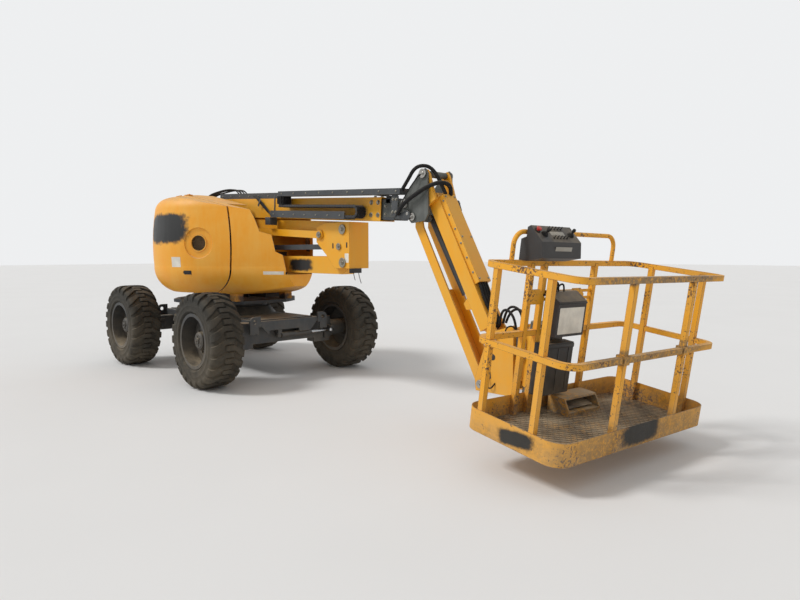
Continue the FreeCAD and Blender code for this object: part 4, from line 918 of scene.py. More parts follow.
def wheel_fittings():
    """Bolts, hub cap ring and valve of a wheel about the Z axis, its outside up."""
    nuts = repeated(hex_bolt(0.027, 0.020, washer=0.019), circle_places(0.130, 9, 0.036))
    hub_bolts = repeated(hex_bolt(0.015, 0.007), circle_places(0.052, 6, 0.1095, start=20.0))
    cap = lathed(((0.030, 0.1095), (0.034, 0.111), (0.034, 0.119), (0.031, 0.122), (0.010, 0.1235)), 32)
    plug = moved(hex_bolt(0.017, 0.010), placed(0.0, 0.0, 0.123))
    stem = lathed(((0.005, 0.0), (0.005, 0.028), (0.0065, 0.029), (0.0065, 0.043), (0.004, 0.045)), 12)
    stem = moved(stem, frame_matrix(turn_about(AXIS_Y, -20.0), (0.232, 0.0, 0.012)))
    lip = ring_form(((0.2695, 0.165), (0.270, 0.169), (0.274, 0.1705), (0.279, 0.1698), (0.280, 0.165)), 72)
    return nuts, joined([hub_bolts, cap, plug, stem, lip])


class LIFT_OT_wheel_nuts(bpy.types.Operator):
    """Wheel nuts, hub bolts, plugs, valves and rim lips"""

    bl_idname = "lift.wheel_nuts"
    bl_label = "Wheel nuts and hubs"

    def execute(self, context):
        nuts, trim = wheel_fittings()
        for name, x, y in WHEELS:
            side = 1.0 if y > 0 else -1.0
            spot = facing((x, y, TYRE_RADIUS), (0.0, side, 0.0), 17.0 * x)
            make_piece("nuts_" + name, moved(nuts, spot), "worn_nut", "wheel_" + name)
            make_piece("hub_trim_" + name, moved(trim, spot), "rim_coat", "wheel_" + name)
        return {"FINISHED"}


# Turret covers
COVER_TANGENT = math.radians(54.083)
COVER_CURVE = np.polyfit((1.330, 1.645, 2.000), (1.000, 1.008, 0.975), 2)
NOSE_FRONT = 1.470
PORTHOLE_HEIGHT = 1.599
PORTHOLE_FLOOR = 0.974


def cover_radius(height):
    """The covers' radius at a height: an arc below the belt line, a shallow bow above it."""
    below = 0.67529 + np.sqrt(np.maximum(0.10586 - (height - 1.30942) ** 2, 0.0))
    return np.where(height < 1.330, below, np.polyval(COVER_CURVE, height))


def cover_points(along, height, lift):
    """Points on the right cover: its radius round the rear arc, or straight on along the flat cheek."""
    radius = cover_radius(height) + lift
    turn = COVER_TANGENT + np.maximum(-along, 0.0)
    ahead = np.maximum(along, 0.0)
    x = radius * np.cos(turn) + ahead * math.sin(COVER_TANGENT)
    y = radius * np.sin(turn) - ahead * math.cos(COVER_TANGENT)
    return np.stack([x, -y, height + 0 * x], axis=-1)


def cover_film(start, end, low, high, thickness):
    """A thin sheet laid on the right cover, with its rim turned down into the surface."""
    along = np.concatenate([[start], np.linspace(start, end, 14), [end]])
    height = np.concatenate([[low], np.linspace(low, high, 8), [high]])
    lift = np.full((10, 16), thickness)
    lift[[0, -1], :] = -0.001
    lift[:, [0, -1]] = -0.001
    grid_along, grid_height = np.meshgrid(along, height)
    return cover_points(grid_along, grid_height, lift).reshape(-1, 3), grid_faces(10, 16)


class LIFT_OT_cover_labels(bpy.types.Operator):
    """Blank labels and the dark slot on the right covers"""

    bl_idname = "lift.cover_labels"
    bl_label = "Cover labels"

    def execute(self, context):
        label = cover_film(-0.384, -0.242, 1.319, 1.437, 0.0009)
        make_piece("hood_label", label, "label_film", "hood_right")
        strip = cover_film(0.790, 1.036, 1.238, 1.275, 0.0009)
        make_piece("cover_strip", strip, "label_film", "turret")
        slats = [cover_film(-0.197, -0.097, 1.233, 1.279, 0.0024)]
        for level in (1.242, 1.255, 1.268):
            slats.append(cover_film(-0.189, -0.105, level - 0.003, level + 0.003, 0.0055))
        make_piece("hood_vent", joined(slats), "black_plastic", "hood_right")
        return {"FINISHED"}


def porthole_form():
    """A shallow cup behind the hood's round hole, with a guard of upright and level wires."""
    cup = ring_form(((0.0006, -0.052), (0.070, -0.050), (0.088, -0.040), (0.0955, -0.004), (0.0970, -0.001),
                     (0.0985, -0.004), (0.0910, -0.044), (0.0720, -0.056), (0.0006, -0.058)), 40)
    wires = []
    for offset in np.linspace(-0.075, 0.075, 9):
        reach = math.sqrt(0.0955 ** 2 - offset ** 2)
        wire = lathed(((0.0014, -reach), (0.0014, reach)), 8)
        lying = frame_matrix(turn_about(AXIS_X, 90.0), (offset, 0.0, -0.0105))
        across = frame_matrix(turn_about(AXIS_Y, 90.0), (0.0, offset, -0.0080))
        wires.extend([moved(wire, lying), moved(wire, across)])
    return joined([cup] + wires)


class LIFT_OT_portholes(bpy.types.Operator):
    """Grubby wire guards in the hoods' round holes"""

    bl_idname = "lift.portholes"
    bl_label = "Portholes"

    def execute(self, context):
        form = porthole_form()
        for name, side in (("left", 1.0), ("right", -1.0)):
            normal = (math.cos(COVER_TANGENT), side * math.sin(COVER_TANGENT), 0.0)
            place = (PORTHOLE_FLOOR * normal[0], PORTHOLE_FLOOR * normal[1], PORTHOLE_HEIGHT)
            make_piece("porthole_" + name, moved(form, facing(place, normal)), "grubby_mesh", "hood_" + name)
        return {"FINISHED"}


def nose_form():
    """The nose's rounded front wall: half as wide as the cheeks leave it at each height, bowed forward."""
    height = np.concatenate([[1.101], np.linspace(1.103, 1.239, 12), [1.240]])
    half = 1.23477 * cover_radius(height) - 1.06472 - 0.0015
    across = np.linspace(-1.0, 1.0, 25)
    bow = 0.016 * (1.0 - across ** 4)
    fall = 0.014 * np.clip((1.140 - height) / 0.037, 0.0, 1.0) ** 2
    front = np.stack(np.broadcast_arrays(NOSE_FRONT - 0.001 + bow[None, :] - fall[:, None],
                                         across[None, :] * half[:, None], height[:, None]), axis=-1)
    back = front - np.array([0.012, 0.0, 0.0])
    rows = np.concatenate([front, back[::-1]])
    faces = grid_faces(len(rows), 25, close_rows=True)
    count = len(rows)
    faces.append(tuple(index * 25 for index in range(count)))
    faces.append(tuple(index * 25 + 24 for index in range(count - 1, -1, -1)))
    return rows.reshape(-1, 3), faces


class LIFT_OT_nose(bpy.types.Operator):
    """The front wall that closes the covers' nose below the mouth"""

    bl_idname = "lift.nose"
    bl_label = "Nose wall"

    def execute(self, context):
        make_piece("nose_wall", nose_form(), "hood_moulding", "turret", smooth=50.0)
        return {"FINISHED"}


# Arms, knuckle and boom
# body, x and z of the pin, its radius and half its length
PINS = (
    ("turret", -0.560, 1.385, 0.040, 0.138),
    ("front_knuckle", 2.400, 1.385, 0.040, 0.138),
    ("front_knuckle", 2.400, 1.725, 0.040, 0.138),
    ("front_knuckle", 2.340, 1.550, 0.024, 0.138),
    ("front_knuckle", 2.029, 1.678, 0.024, 0.158),
    ("boom_mast", -0.700, 2.108, 0.040, 0.138),
    ("head", 3.345, 1.930, 0.030, 0.180),
    ("head", 3.571, 2.180, 0.030, 0.180),
    ("head", 3.445, 1.807, 0.024, 0.180),
    ("jib_bracket", 4.3345, 0.7739, 0.030, 0.155),
    ("jib_bracket", 4.2085, 0.4009, 0.024, 0.155),
)


def pin_cap(radius):
    """A retaining washer with its bolt."""
    rim = radius + 0.011
    disc = lathed(((rim - 0.0015, -0.0005), (rim, 0.001), (rim, 0.0048), (rim - 0.0015, 0.0062),
                   (radius * 0.62, 0.0062), (radius * 0.55, 0.0050)), 36)
    bolt = moved(hex_bolt(radius * 0.62, 0.009, washer=radius * 0.50), placed(0.0, 0.0, 0.0045))
    return joined([disc, bolt])


def route_line(route):
    """Points on the smooth line of a route: arcs of parabolas between the middles of its runs."""
    route = np.array(route)
    joints = np.concatenate([route[:1], (route[1:-2] + route[2:-1]) / 2, route[-1:]])
    share = np.linspace(0.0, 1.0, 20)[:, None, None]
    line = (1 - share) ** 2 * joints[:-1] + 2 * share * (1 - share) * route[1:-1] + share ** 2 * joints[1:]
    return np.concatenate([line[:-1].transpose(1, 0, 2).reshape(-1, 3), route[-1:]])


def line_length(line):
    """Length of a line of points."""
    return float(np.linalg.norm(np.diff(line, axis=0), axis=-1).sum())


def tube_form(line, radius, sides=14):
    """A round tube: a circle carried along a line and square to it, turned to the guide least along it."""
    along = np.gradient(line, axis=0)
    along /= np.linalg.norm(along, axis=1, keepdims=True)
    guides = np.array([AXIS_X, AXIS_Y, AXIS_Z, (0.707, 0.0, -0.707), (0.707, 0.0, 0.707)])
    guide = guides[np.argmin(np.abs(along @ guides.T).max(axis=0))]
    first = np.cross(along, guide)
    first /= np.linalg.norm(first, axis=1, keepdims=True)
    second = np.cross(along, first)
    turns = np.linspace(0.0, 2 * math.pi, sides, endpoint=False)[None, :, None]
    points = line[:, None] + radius * (np.cos(turns) * first[:, None] + np.sin(turns) * second[:, None])
    faces = grid_faces(len(line), sides, close_columns=True)
    last = (len(line) - 1) * sides
    faces.append(tuple(range(sides - 1, -1, -1)))
    faces.append(tuple(range(last, last + sides)))
    return points.reshape(-1, 3), faces


def make_cord(name, route, radius, body):
    """A free hose: a smooth curve along its route; the length of its line is worked out and not kept."""
    hose = make_hose(name, [route], radius, body)
    line_length(route_line(route))
    return hose


def make_bending_cord(name, route, radius):
    """A free hose across a joint: a tube on its route's line, attached to no body."""
    line = route_line(route)
    hose = make_piece(name, tube_form(line, radius), "hose_rubber", None)
    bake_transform(hose)
    return hose


class LIFT_OT_pins(bpy.types.Operator):
    """Retaining washers and bolts on the ends of the arms' pins"""

    bl_idname = "lift.pins"
    bl_label = "Pin ends"

    def execute(self, context):
        for number, (body, x, z, radius, half) in enumerate(PINS):
            form = pin_cap(radius)
            spots = [facing((x, -half, z), TO_RIGHT, 11.0 * number),
                     facing((x, half, z), TO_LEFT, 7.0 * number)]
            finish = "pin_steel" if body in ("head", "jib_bracket") else "zinc_bolt"
            make_piece("pin_caps_%02d" % number, repeated(form, spots), finish, body)
        return {"FINISHED"}


class LIFT_OT_boom_fittings(bpy.types.Operator):
    """Wear-pad bolts, straps, channel bolts and the hose band on the boom's side"""

    bl_idname = "lift.boom_fittings"
    bl_label = "Boom fittings"

    def execute(self, context):
        pad_bolt = hex_bolt(0.026, 0.013, washer=0.024)
        pads = []
        for x in (3.507, 3.607):
            for z in (0.064, -0.056):
                pads.append(BOOM_FRAME @ facing((x, -0.095, z), TO_RIGHT, 800.0 * x))
                pads.append(BOOM_FRAME @ facing((x, 0.095, z), TO_LEFT, 900.0 * x))
            for y in (-0.045, 0.045):
                pads.append(BOOM_FRAME @ facing((x, y, 0.115), AXIS_Z, 700.0 * x))
        make_piece("wear_pad_bolts", repeated(pad_bolt, pads), "zinc_bolt", "boom")
        strap = slab(rounded_outline(0.022, 0.250, 0.003), 0.006, 0.001)
        clip = slab(rounded_outline(0.030, 0.095, 0.004), 0.004, 0.001)
        straps = [moved(strap, BOOM_FRAME @ facing((1.806, -0.0950, 0.030), TO_RIGHT)),
                  moved(clip, BOOM_FRAME @ facing((1.52, -0.1290, 0.066), TO_RIGHT, -32.0))]
        block = slab(rounded_outline(0.105, 0.100, 0.006), 0.088, 0.003)
        straps.append(moved(block, BOOM_FRAME @ placed(1.850, -0.172, -0.1945)))
        make_piece("boom_straps", joined(straps), "link_paint", "boom")
        small = hex_bolt(0.011, 0.005, washer=0.009)
        fixed = [BOOM_FRAME @ facing((x, -0.060, 0.150), TO_RIGHT) for x in np.arange(0.50, 1.86, 0.22)]
        fixed += [BOOM_FRAME @ facing((x, -0.241, -0.072), TO_RIGHT) for x in np.arange(2.00, 3.24, 0.2)]
        make_piece("tray_bolts", repeated(small, fixed), "zinc_bolt", "boom")
        moving = [BOOM_FRAME @ facing((x, -0.235, 0.157), TO_RIGHT) for x in np.arange(2.15, 4.02, 0.23)]
        make_piece("channel_bolts", repeated(small, moving), "zinc_bolt", "telescope")
        band = []
        for step, shift in ((0.0, 0.0), (0.021, 0.004), (0.042, -0.003)):
            band.append(carried([
                (1.26 + step, -0.050, 0.150), (1.36 + step, -0.085, 0.138), (1.47 + step, -0.113, 0.090),
                (1.60 + step, -0.116, 0.010), (1.73, -0.120, -0.062 + shift + step * 0.5),
                (1.86, -0.140 - step, -0.086), (1.93, -0.165 - step * 0.6, -0.0865),
                (2.02, -0.168 - step * 0.6, -0.0850)], BOOM_FRAME))
        make_hose("band_hoses", band, 0.0095, "boom")
        return {"FINISHED"}


# Side of each rear hose, height of its crest and how far its front end leans forward
REAR_HOSES = (
    (-0.044, 0.243, 0.0),
    (-0.021, 0.236, 0.03),
    (0.004, 0.245, -0.02),
    (0.028, 0.233, 0.02),
    (0.048, 0.240, 0.05),
)


class LIFT_OT_rear_hoses(bpy.types.Operator):
    """Hoses that arch from the top channel back to the boom's tail"""

    bl_idname = "lift.rear_hoses"
    bl_label = "Rear hoses"

    def execute(self, context):
        for number, (y, crest, lean) in enumerate(REAR_HOSES):
            route = [
                (0.88 + lean, y, 0.1865), (0.83 + lean, y, 0.225), (0.70 + lean, y, crest),
                (0.52 + lean, y * 1.15, crest - 0.006), (0.33, y * 1.25, crest - 0.032),
                (0.15, y * 1.2, 0.182), (0.02, y, 0.140), (-0.04, y, 0.1160)]
            make_cord("rear_hose_%d" % number, carried(route, BOOM_FRAME), 0.0085, "boom")
        collars = []
        for y, crest, lean in REAR_HOSES:
            collar = lathed(((0.0105, 0.0), (0.0115, 0.002), (0.0115, 0.010), (0.0100, 0.012)), 16)
            collars.append(moved(collar, BOOM_FRAME @ placed(-0.041, y, 0.1145)))
        make_piece("rear_collars", joined(collars), "zinc_bolt", "boom")
        return {"FINISHED"}


def ribbed_tube(radius, length, pitch):
    """A corrugated conduit: a cosine wave of a few ribs carried round the Z axis."""
    height = np.linspace(0.0, length, int(length / pitch * 6))
    wave = radius + 0.0009 * np.cos(2 * math.pi * height / pitch)
    return lathed(np.column_stack([wave, height]), 14)


class LIFT_OT_post_conduits(bpy.types.Operator):
    """Ribbed conduits on the post of the moving channel"""

    bl_idname = "lift.post_conduits"
    bl_label = "Post conduits"

    def execute(self, context):
        tube = ribbed_tube(0.0098, 0.086, 0.0068)
        places = [BOOM_FRAME @ frame_matrix(None, (2.1755 + 0.002 * (number % 2), y, 0.0435))
                  for number, y in enumerate((-0.224, -0.202, -0.180, -0.158, -0.136))]
        places += [BOOM_FRAME @ placed(x, -0.2455, 0.0435) for x in (2.096, 2.118, 2.140, 2.160)]
        make_piece("post_conduits", repeated(tube, places), "hose_rubber", "telescope", smooth=60.0)
        return {"FINISHED"}


KNUCKLE_BOTTOM = 1.320


class LIFT_OT_knuckle_fittings(bpy.types.Operator):
    """Slots drawn as thin black sheets of painted shade, a black block, blank label, valve block and short
    hoses of the front knuckle
    """

    bl_idname = "lift.knuckle_fittings"
    bl_label = "Knuckle fittings"

    def execute(self, context):
        # The two slots are thin black sheets: painted shade inside the side plate's openings
        slot = slab(rounded_outline(0.021, 0.058, 0.0102, 8), 0.0012, 0.0004)
        slot_shade_and_block = [moved(slot, facing((x, -0.1298, z), TO_RIGHT)) for x, z in ((2.238, 1.558), (2.464, 1.564))]
        block = slab(rounded_outline(0.026, 0.150, 0.005), 0.047, 0.0025)
        slot_shade_and_block.append(moved(block, placed(2.503, -0.048, 1.2785)))
        make_piece("knuckle_slots", joined(slot_shade_and_block), "black_plastic", "front_knuckle")
        label = slab(rounded_outline(0.062, 0.094, 0.005), 0.0009, 0.0003)
        make_piece("knuckle_label", moved(label, facing((2.462, -0.1299, 1.432), TO_RIGHT)), "label_film",
                   "front_knuckle")
        valve = slab(rounded_outline(0.120, 0.130, 0.006), 0.062, 0.003)
        ports = [moved(valve, placed(2.235, 0.0, 1.502))]
        for x in (2.195, 2.235, 2.275):
            for y in (-0.045, 0.0, 0.045):
                ports.append(moved(hex_bolt(0.022, 0.014), placed(x, y, 1.5635)))
        make_piece("knuckle_valve", joined(ports), "zinc_bolt", "front_knuckle")
        # Place, drop and sway of each lead
        hangers = ((2.513, -0.078, 0.115, 0.012), (2.513, -0.010, 0.150, 0.026))
        for number, (x, y, drop, sway) in enumerate(hangers):
            route = [(x - 0.010, y, KNUCKLE_BOTTOM), (x - 0.008, y + 0.002, KNUCKLE_BOTTOM - 0.035),
                     (x - 0.004, y + sway * 0.4, KNUCKLE_BOTTOM - drop * 0.6),
                     (x + 0.006, y + sway, KNUCKLE_BOTTOM - drop)]
            make_cord("knuckle_lead_%d" % number, np.array(route), 0.0034, "front_knuckle")
        return {"FINISHED"}


# Cable chain and its hoses
CHAIN_MIDDLE = -0.030
CHAIN_MEAN = 0.052
CHAIN_FRONT = 3.393
CHAIN_SIDE = (-0.233, -0.117)
LINK_PITCH = 0.0445


def chain_places():
    """Matrices in the boom's frame along the loop: lower run, half turn round the front, upper run."""
    lower = CHAIN_FRONT - 1.990
    turn = math.pi * CHAIN_MEAN
    upper = CHAIN_FRONT - 2.090
    total = lower + turn + upper
    count = int(total / LINK_PITCH)
    steps = (np.arange(count) + 0.5) * total / count
    places = []
    for step in steps:
        if step < lower:
            place = (1.990 + step, CHAIN_MIDDLE - CHAIN_MEAN)
            angle = 0.0
        elif step < lower + turn:
            share = (step - lower) / CHAIN_MEAN
            place = (CHAIN_FRONT + CHAIN_MEAN * math.sin(share), CHAIN_MIDDLE - CHAIN_MEAN * math.cos(share))
            angle = math.degrees(share)
        else:
            place = (CHAIN_FRONT - (step - lower - turn), CHAIN_MIDDLE + CHAIN_MEAN)
            angle = 180.0
        places.append(frame_matrix(turn_about(TO_RIGHT, angle), (place[0], 0.0, place[1])))
    return places


def link_form():
    """One link: two waisted side plates that overlap the next link's, and a bar above and below."""
    plate = [(0.0205, -0.0130), (0.0240, 0.0), (0.0205, 0.0130), (0.0060, 0.0148), (-0.0090, 0.0112),
             (-0.0235, 0.0100), (-0.0235, -0.0100), (-0.0090, -0.0112), (0.0060, -0.0148)]
    upright = turn_about(AXIS_X, 90.0)
    parts = []
    for y in (CHAIN_SIDE[0] + 0.0042, CHAIN_SIDE[1]):
        parts.append(moved(slab(plate, 0.0042, 0.0008), frame_matrix(upright, (0.0, y, 0.0))))
    width = CHAIN_SIDE[1] - CHAIN_SIDE[0] - 0.004
    middle = (CHAIN_SIDE[0] + CHAIN_SIDE[1]) / 2
    bar = rounded_outline(0.014, width, 0.002, 2)
    for z in (0.0112, -0.0146):
        parts.append(moved(slab(bar, 0.0034, 0.0007), placed(0.0, middle, z)))
    return joined(parts)


class LIFT_OT_chain(bpy.types.Operator):
    """Links of the cable chain with the hoses that it carries"""

    bl_idname = "lift.chain"
    bl_label = "Cable chain"

    def execute(self, context):
        form = repeated(link_form(), [BOOM_FRAME @ place for place in chain_places()])
        chain = make_piece("chain_links", form, "chain_plastic", "cable_chain")
        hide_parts("cable_chain")
        low = CHAIN_MIDDLE - CHAIN_MEAN
        high = CHAIN_MIDDLE + CHAIN_MEAN
        far = CHAIN_FRONT + CHAIN_MEAN * 1.18
        routes = []
        for y in (-0.215, -0.194, -0.175, -0.156, -0.136):
            route = [(2.000, y, low), (2.7, y, low), (CHAIN_FRONT, y, low), (far, y, low), (far, y, high),
                     (CHAIN_FRONT, y, high), (2.7, y, high), (2.100, y, high)]
            routes.append(carried(route, BOOM_FRAME))
        make_hose("chain_hoses", routes, 0.0078, "cable_chain")
        return {"FINISHED"}


# Boom tip, head and jib
class LIFT_OT_tip(bpy.types.Operator):
    """Telescope tip block, the moving channel's bracket and the head's cable lever"""

    bl_idname = "lift.tip"
    bl_label = "Boom tip"

    def execute(self, context):
        upright = turn_about(AXIS_X, 90.0)
        tip = slab(rounded_outline(0.150, 0.130, 0.010), 0.176, 0.004)
        tip = moved(tip, BOOM_FRAME @ frame_matrix(upright, (3.752, 0.088, -0.008)))
        make_piece("tip_block", tip, "head_paint", "telescope")
        cap = slab(rounded_outline(0.120, 0.150, 0.008), 0.050, 0.003)
        cap = moved(cap, BOOM_FRAME @ placed(3.745, 0.0, 0.0575))
        pad = slab(rounded_outline(0.150, 0.168, 0.006), 0.030, 0.003)
        pad = moved(pad, BOOM_FRAME @ placed(3.752, 0.0, -0.1020))
        outline = [(-0.040, -0.100), (0.012, -0.100), (0.040, -0.060), (0.040, 0.110), (-0.040, 0.110)]
        bracket = moved(slab(outline, 0.007, 0.001), BOOM_FRAME @ facing((3.952, -0.2010, 0.030), TO_RIGHT))
        make_piece("tip_pads", joined([cap, pad, bracket]), "link_paint", "telescope")
        bolts = [BOOM_FRAME @ facing((x, -0.088, z), TO_RIGHT)
                 for x in (3.705, 3.800) for z in (-0.045, 0.030)]
        bolts += [BOOM_FRAME @ facing((x, -0.208, z), TO_RIGHT)
                  for x in (3.930, 3.972) for z in (-0.030, 0.085)]
        bolt = hex_bolt(0.017, 0.008, washer=0.013)
        make_piece("tip_bolts", repeated(bolt, bolts), "zinc_bolt", "telescope")
        outline = np.array([(3.400, 1.772), (3.436, 1.800), (3.428, 1.852), (3.392, 1.870), (3.305, 1.842),
                            (3.232, 1.822), (3.240, 1.800), (3.320, 1.786)]) - (3.345, 1.820)
        lever = moved(slab(outline, 0.007, 0.001), facing((3.345, -0.1905, 1.820), TO_RIGHT))
        spacer = lathed(((0.016, 0.0), (0.016, 0.0225)), 20)
        lever = joined([lever, moved(spacer, facing((3.385, -0.1685, 1.838), TO_RIGHT))])
        make_piece("cable_lever", lever, "link_paint", "head")
        pin = lathed(((0.0145, 0.0), (0.0145, 0.0018), (0.0130, 0.0026), (0.0050, 0.0026)), 28)
        pin = moved(pin, facing((3.398, -0.1975, 1.836), TO_RIGHT))
        make_piece("lever_pin", pin, "pin_steel", "head")
        return {"FINISHED"}


class LIFT_OT_head_hoses(bpy.types.Operator):
    """The thick hose and the sheath that cross the head to the jib, and the head's thin cable"""

    bl_idname = "lift.head_hoses"
    bl_label = "Head hoses"

    def execute(self, context):
        bending = (
            ("head_hose", 0.0165, ((3.318, -0.190, 2.040), (3.366, -0.194, 2.092), (3.426, -0.200, 2.150),
                                   (3.486, -0.212, 2.210), (3.540, -0.190, 2.250), (3.592, -0.105, 2.248),
                                   (3.655, -0.060, 2.150), (3.722, -0.040, 1.999))),
            ("head_sheath", 0.0190, ((3.290, -0.212, 1.832), (3.318, -0.216, 1.872), (3.362, -0.219, 1.915),
                                     (3.450, -0.215, 1.967), (3.560, -0.208, 2.020), (3.655, -0.186, 2.066),
                                     (3.722, -0.118, 2.098), (3.740, -0.030, 2.088), (3.745, 0.010, 2.040),
                                     (3.724, 0.022, 1.994))),
        )
        for name, radius, route in bending:
            make_bending_cord(name, np.array(route), radius)
        route = ((3.290, -0.204, 1.828), (3.335, -0.222, 1.905), (3.400, -0.226, 1.990),
                 (3.462, -0.214, 2.075), (3.520, -0.196, 2.146), (3.556, -0.1895, 2.176))
        make_cord("head_cable", np.array(route), 0.0050, "head")
        return {"FINISHED"}


class LIFT_OT_jib_fittings(bpy.types.Operator):
    """Limit switch, cover screws and the jib's own hoses"""

    bl_idname = "lift.jib_fittings"
    bl_label = "Jib fittings"

    def execute(self, context):
        body = slab(rounded_outline(0.105, 0.052, 0.008), 0.034, 0.003)
        head = lathed(((0.014, 0.0), (0.014, 0.020), (0.010, 0.024)), 18)
        head = moved(head, placed(0.030, 0.0, 0.033))
        switch = moved(joined([body, head]), JIB_FRAME @ facing((0.300, 0.144, -0.030), TO_LEFT, 8.0))
        make_piece("limit_switch", switch, "black_plastic", "jib")
        screws = [JIB_FRAME @ facing((x, side * 0.080, 0.026), (0.0, side, 0.0))
                  for x in np.arange(0.29, 1.06, 0.14) for side in (-1.0, 1.0)]
        screws += [JIB_FRAME @ facing((x, y, 0.050), AXIS_Z)
                   for x in (0.26, 0.66, 1.06) for y in (-0.06, 0.06)]
        make_piece("jib_screws", repeated(hex_bolt(0.012, 0.006, washer=0.010), screws), "zinc_bolt", "jib")
        routes = []
        for y, lift in ((-0.056, 0.002), (-0.026, 0.004), (0.004, 0.002), (0.034, 0.004)):
            routes.append(carried([
                (1.086, y, 0.029), (1.13, y, 0.028), (1.20, y, 0.0125 + lift), (1.30, y, 0.0125),
                (1.40, y * 0.8, 0.0125), (1.466, y * 0.7, 0.0125), (1.486, y * 0.6, -0.020),
                (1.490, y * 0.6, -0.060)], JIB_FRAME))
        make_hose("jib_hoses", routes, 0.0120, "jib")
        return {"FINISHED"}


# Platform and rotator
TRAY_DEPTH = 0.810
TRAY_LENGTH = 1.800
TRAY_CORNER = 0.116
TOP_RAIL = 1.153
MID_RAIL = 0.642
STRAND_SECTION = ((-0.0020, 0.0058), (-0.0016, 0.0090), (0.0016, 0.0094), (0.0020, 0.0058))


def mesh_strands():
    """Expanded metal: flat strands in a clipped triangle wave that meet mirrored neighbours at each knot."""
    pitch = 0.0600
    wave = 0.0125
    half_depth = TRAY_DEPTH / 2 - 0.004
    half_length = TRAY_LENGTH / 2 - 0.004
    forms = []
    for number, x in enumerate(np.arange(-0.3875, 0.39, 0.0250)):
        over = max(abs(x) + wave - (half_depth - TRAY_CORNER), 0.0)
        reach = half_length - TRAY_CORNER + math.sqrt(max(TRAY_CORNER ** 2 - over ** 2, 0.0)) - 0.003
        y = np.arange(-int(reach / (pitch / 6)), int(reach / (pitch / 6)) + 1) * pitch / 6
        phase = np.abs(np.mod(y / pitch, 1.0) - 0.5) * 4.0 - 1.0
        sway = np.clip(phase * 1.5, -1.0, 1.0) * wave * (1.0 if number % 2 else -1.0) * 0.92
        middle = np.stack([x + sway, y], axis=-1)
        rows = [np.column_stack([middle[:, 0] + shift, middle[:, 1], np.full(len(y), level)])
                for shift, level in STRAND_SECTION]
        forms.append((np.concatenate(rows), grid_faces(4, len(y), close_rows=True)))
    return joined(forms)


class LIFT_OT_platform_floor(bpy.types.Operator):
    """Expanded metal on the platform's floor"""

    bl_idname = "lift.platform_floor"
    bl_label = "Platform floor"

    def execute(self, context):
        make_piece("floor_mesh", moved(mesh_strands(), BASKET_FRAME), "worn_floor", "platform", smooth=0.0)
        return {"FINISHED"}


def joystick():
    """A pleated rubber boot under a slim grip with a rounded head."""
    boot = lathed(((0.026, 0.0), (0.027, 0.003), (0.022, 0.006), (0.023, 0.009), (0.018, 0.012),
                   (0.019, 0.015), (0.012, 0.019), (0.0070, 0.022)), 28)
    grip = lathed(((0.0070, 0.020), (0.0070, 0.030), (0.0120, 0.038), (0.0130, 0.048), (0.0100, 0.056),
                   (0.0050, 0.059)), 24)
    return joined([boot, grip])


def console_places():
    """The console's sloping face as a frame: X to its side, Y up the slope, Z out of it."""
    normal = np.array([100.0, 0.0, 115.0]) / math.hypot(100.0, 115.0)
    side = np.array([0.0, -1.0, 0.0])
    turn = np.stack([side, np.cross(normal, side), normal], axis=1)
    return BASKET_FRAME @ frame_matrix(turn, (-0.405 + 0.1325, -0.315, TOP_RAIL + 0.197))


class LIFT_OT_console(bpy.types.Operator):
    """Joysticks, switches, stop button and blank plates of the control box"""

    bl_idname = "lift.console"
    bl_label = "Console"

    def execute(self, context):
        face = console_places()
        stick = joystick()
        dark = [moved(stick, face @ frame_matrix(turn_about(AXIS_X, lean), (x, 0.006, 0.0)))
                for x, lean in ((-0.150, 6.0), (0.135, -4.0))]
        knob = lathed(((0.0075, 0.0), (0.0075, 0.004), (0.0035, 0.005), (0.0028, 0.020), (0.0040, 0.026)), 14)
        for x in (-0.080, -0.045, -0.010, 0.025, 0.060):
            for y in (-0.045, 0.040):
                dark.append(moved(knob, face @ frame_matrix(turn_about(AXIS_X, 9.0), (x, y, 0.0))))
        bezel = lathed(((0.0235, 0.0), (0.0235, 0.004), (0.0215, 0.005), (0.0120, 0.005)), 28)
        stop_spot = face @ placed(0.185, -0.028, 0.0)
        dark.append(moved(bezel, stop_spot))
        make_piece("console_controls", joined(dark), "hose_rubber", "platform")
        stop = lathed(((0.0100, 0.004), (0.0100, 0.016), (0.0190, 0.018), (0.0200, 0.024), (0.0160, 0.029),
                       (0.0040, 0.031)), 28)
        make_piece("stop_button", moved(stop, stop_spot), "stop_red", "platform")
        plate = slab(rounded_outline(0.150, 0.036, 0.004), 0.0012, 0.0004)
        make_piece("console_plate", moved(plate, face @ placed(-0.010, -0.004, 0.0)), "worn_plate",
                   "platform")
        front = slab(rounded_outline(0.180, 0.070, 0.004), 0.0012, 0.0004)
        spot = BASKET_FRAME @ facing((-0.2085, -0.300, TOP_RAIL + 0.080), (1.0, 0.0, -0.136))
        make_piece("console_front_plate", moved(front, spot), "worn_plate", "platform")
        return {"FINISHED"}


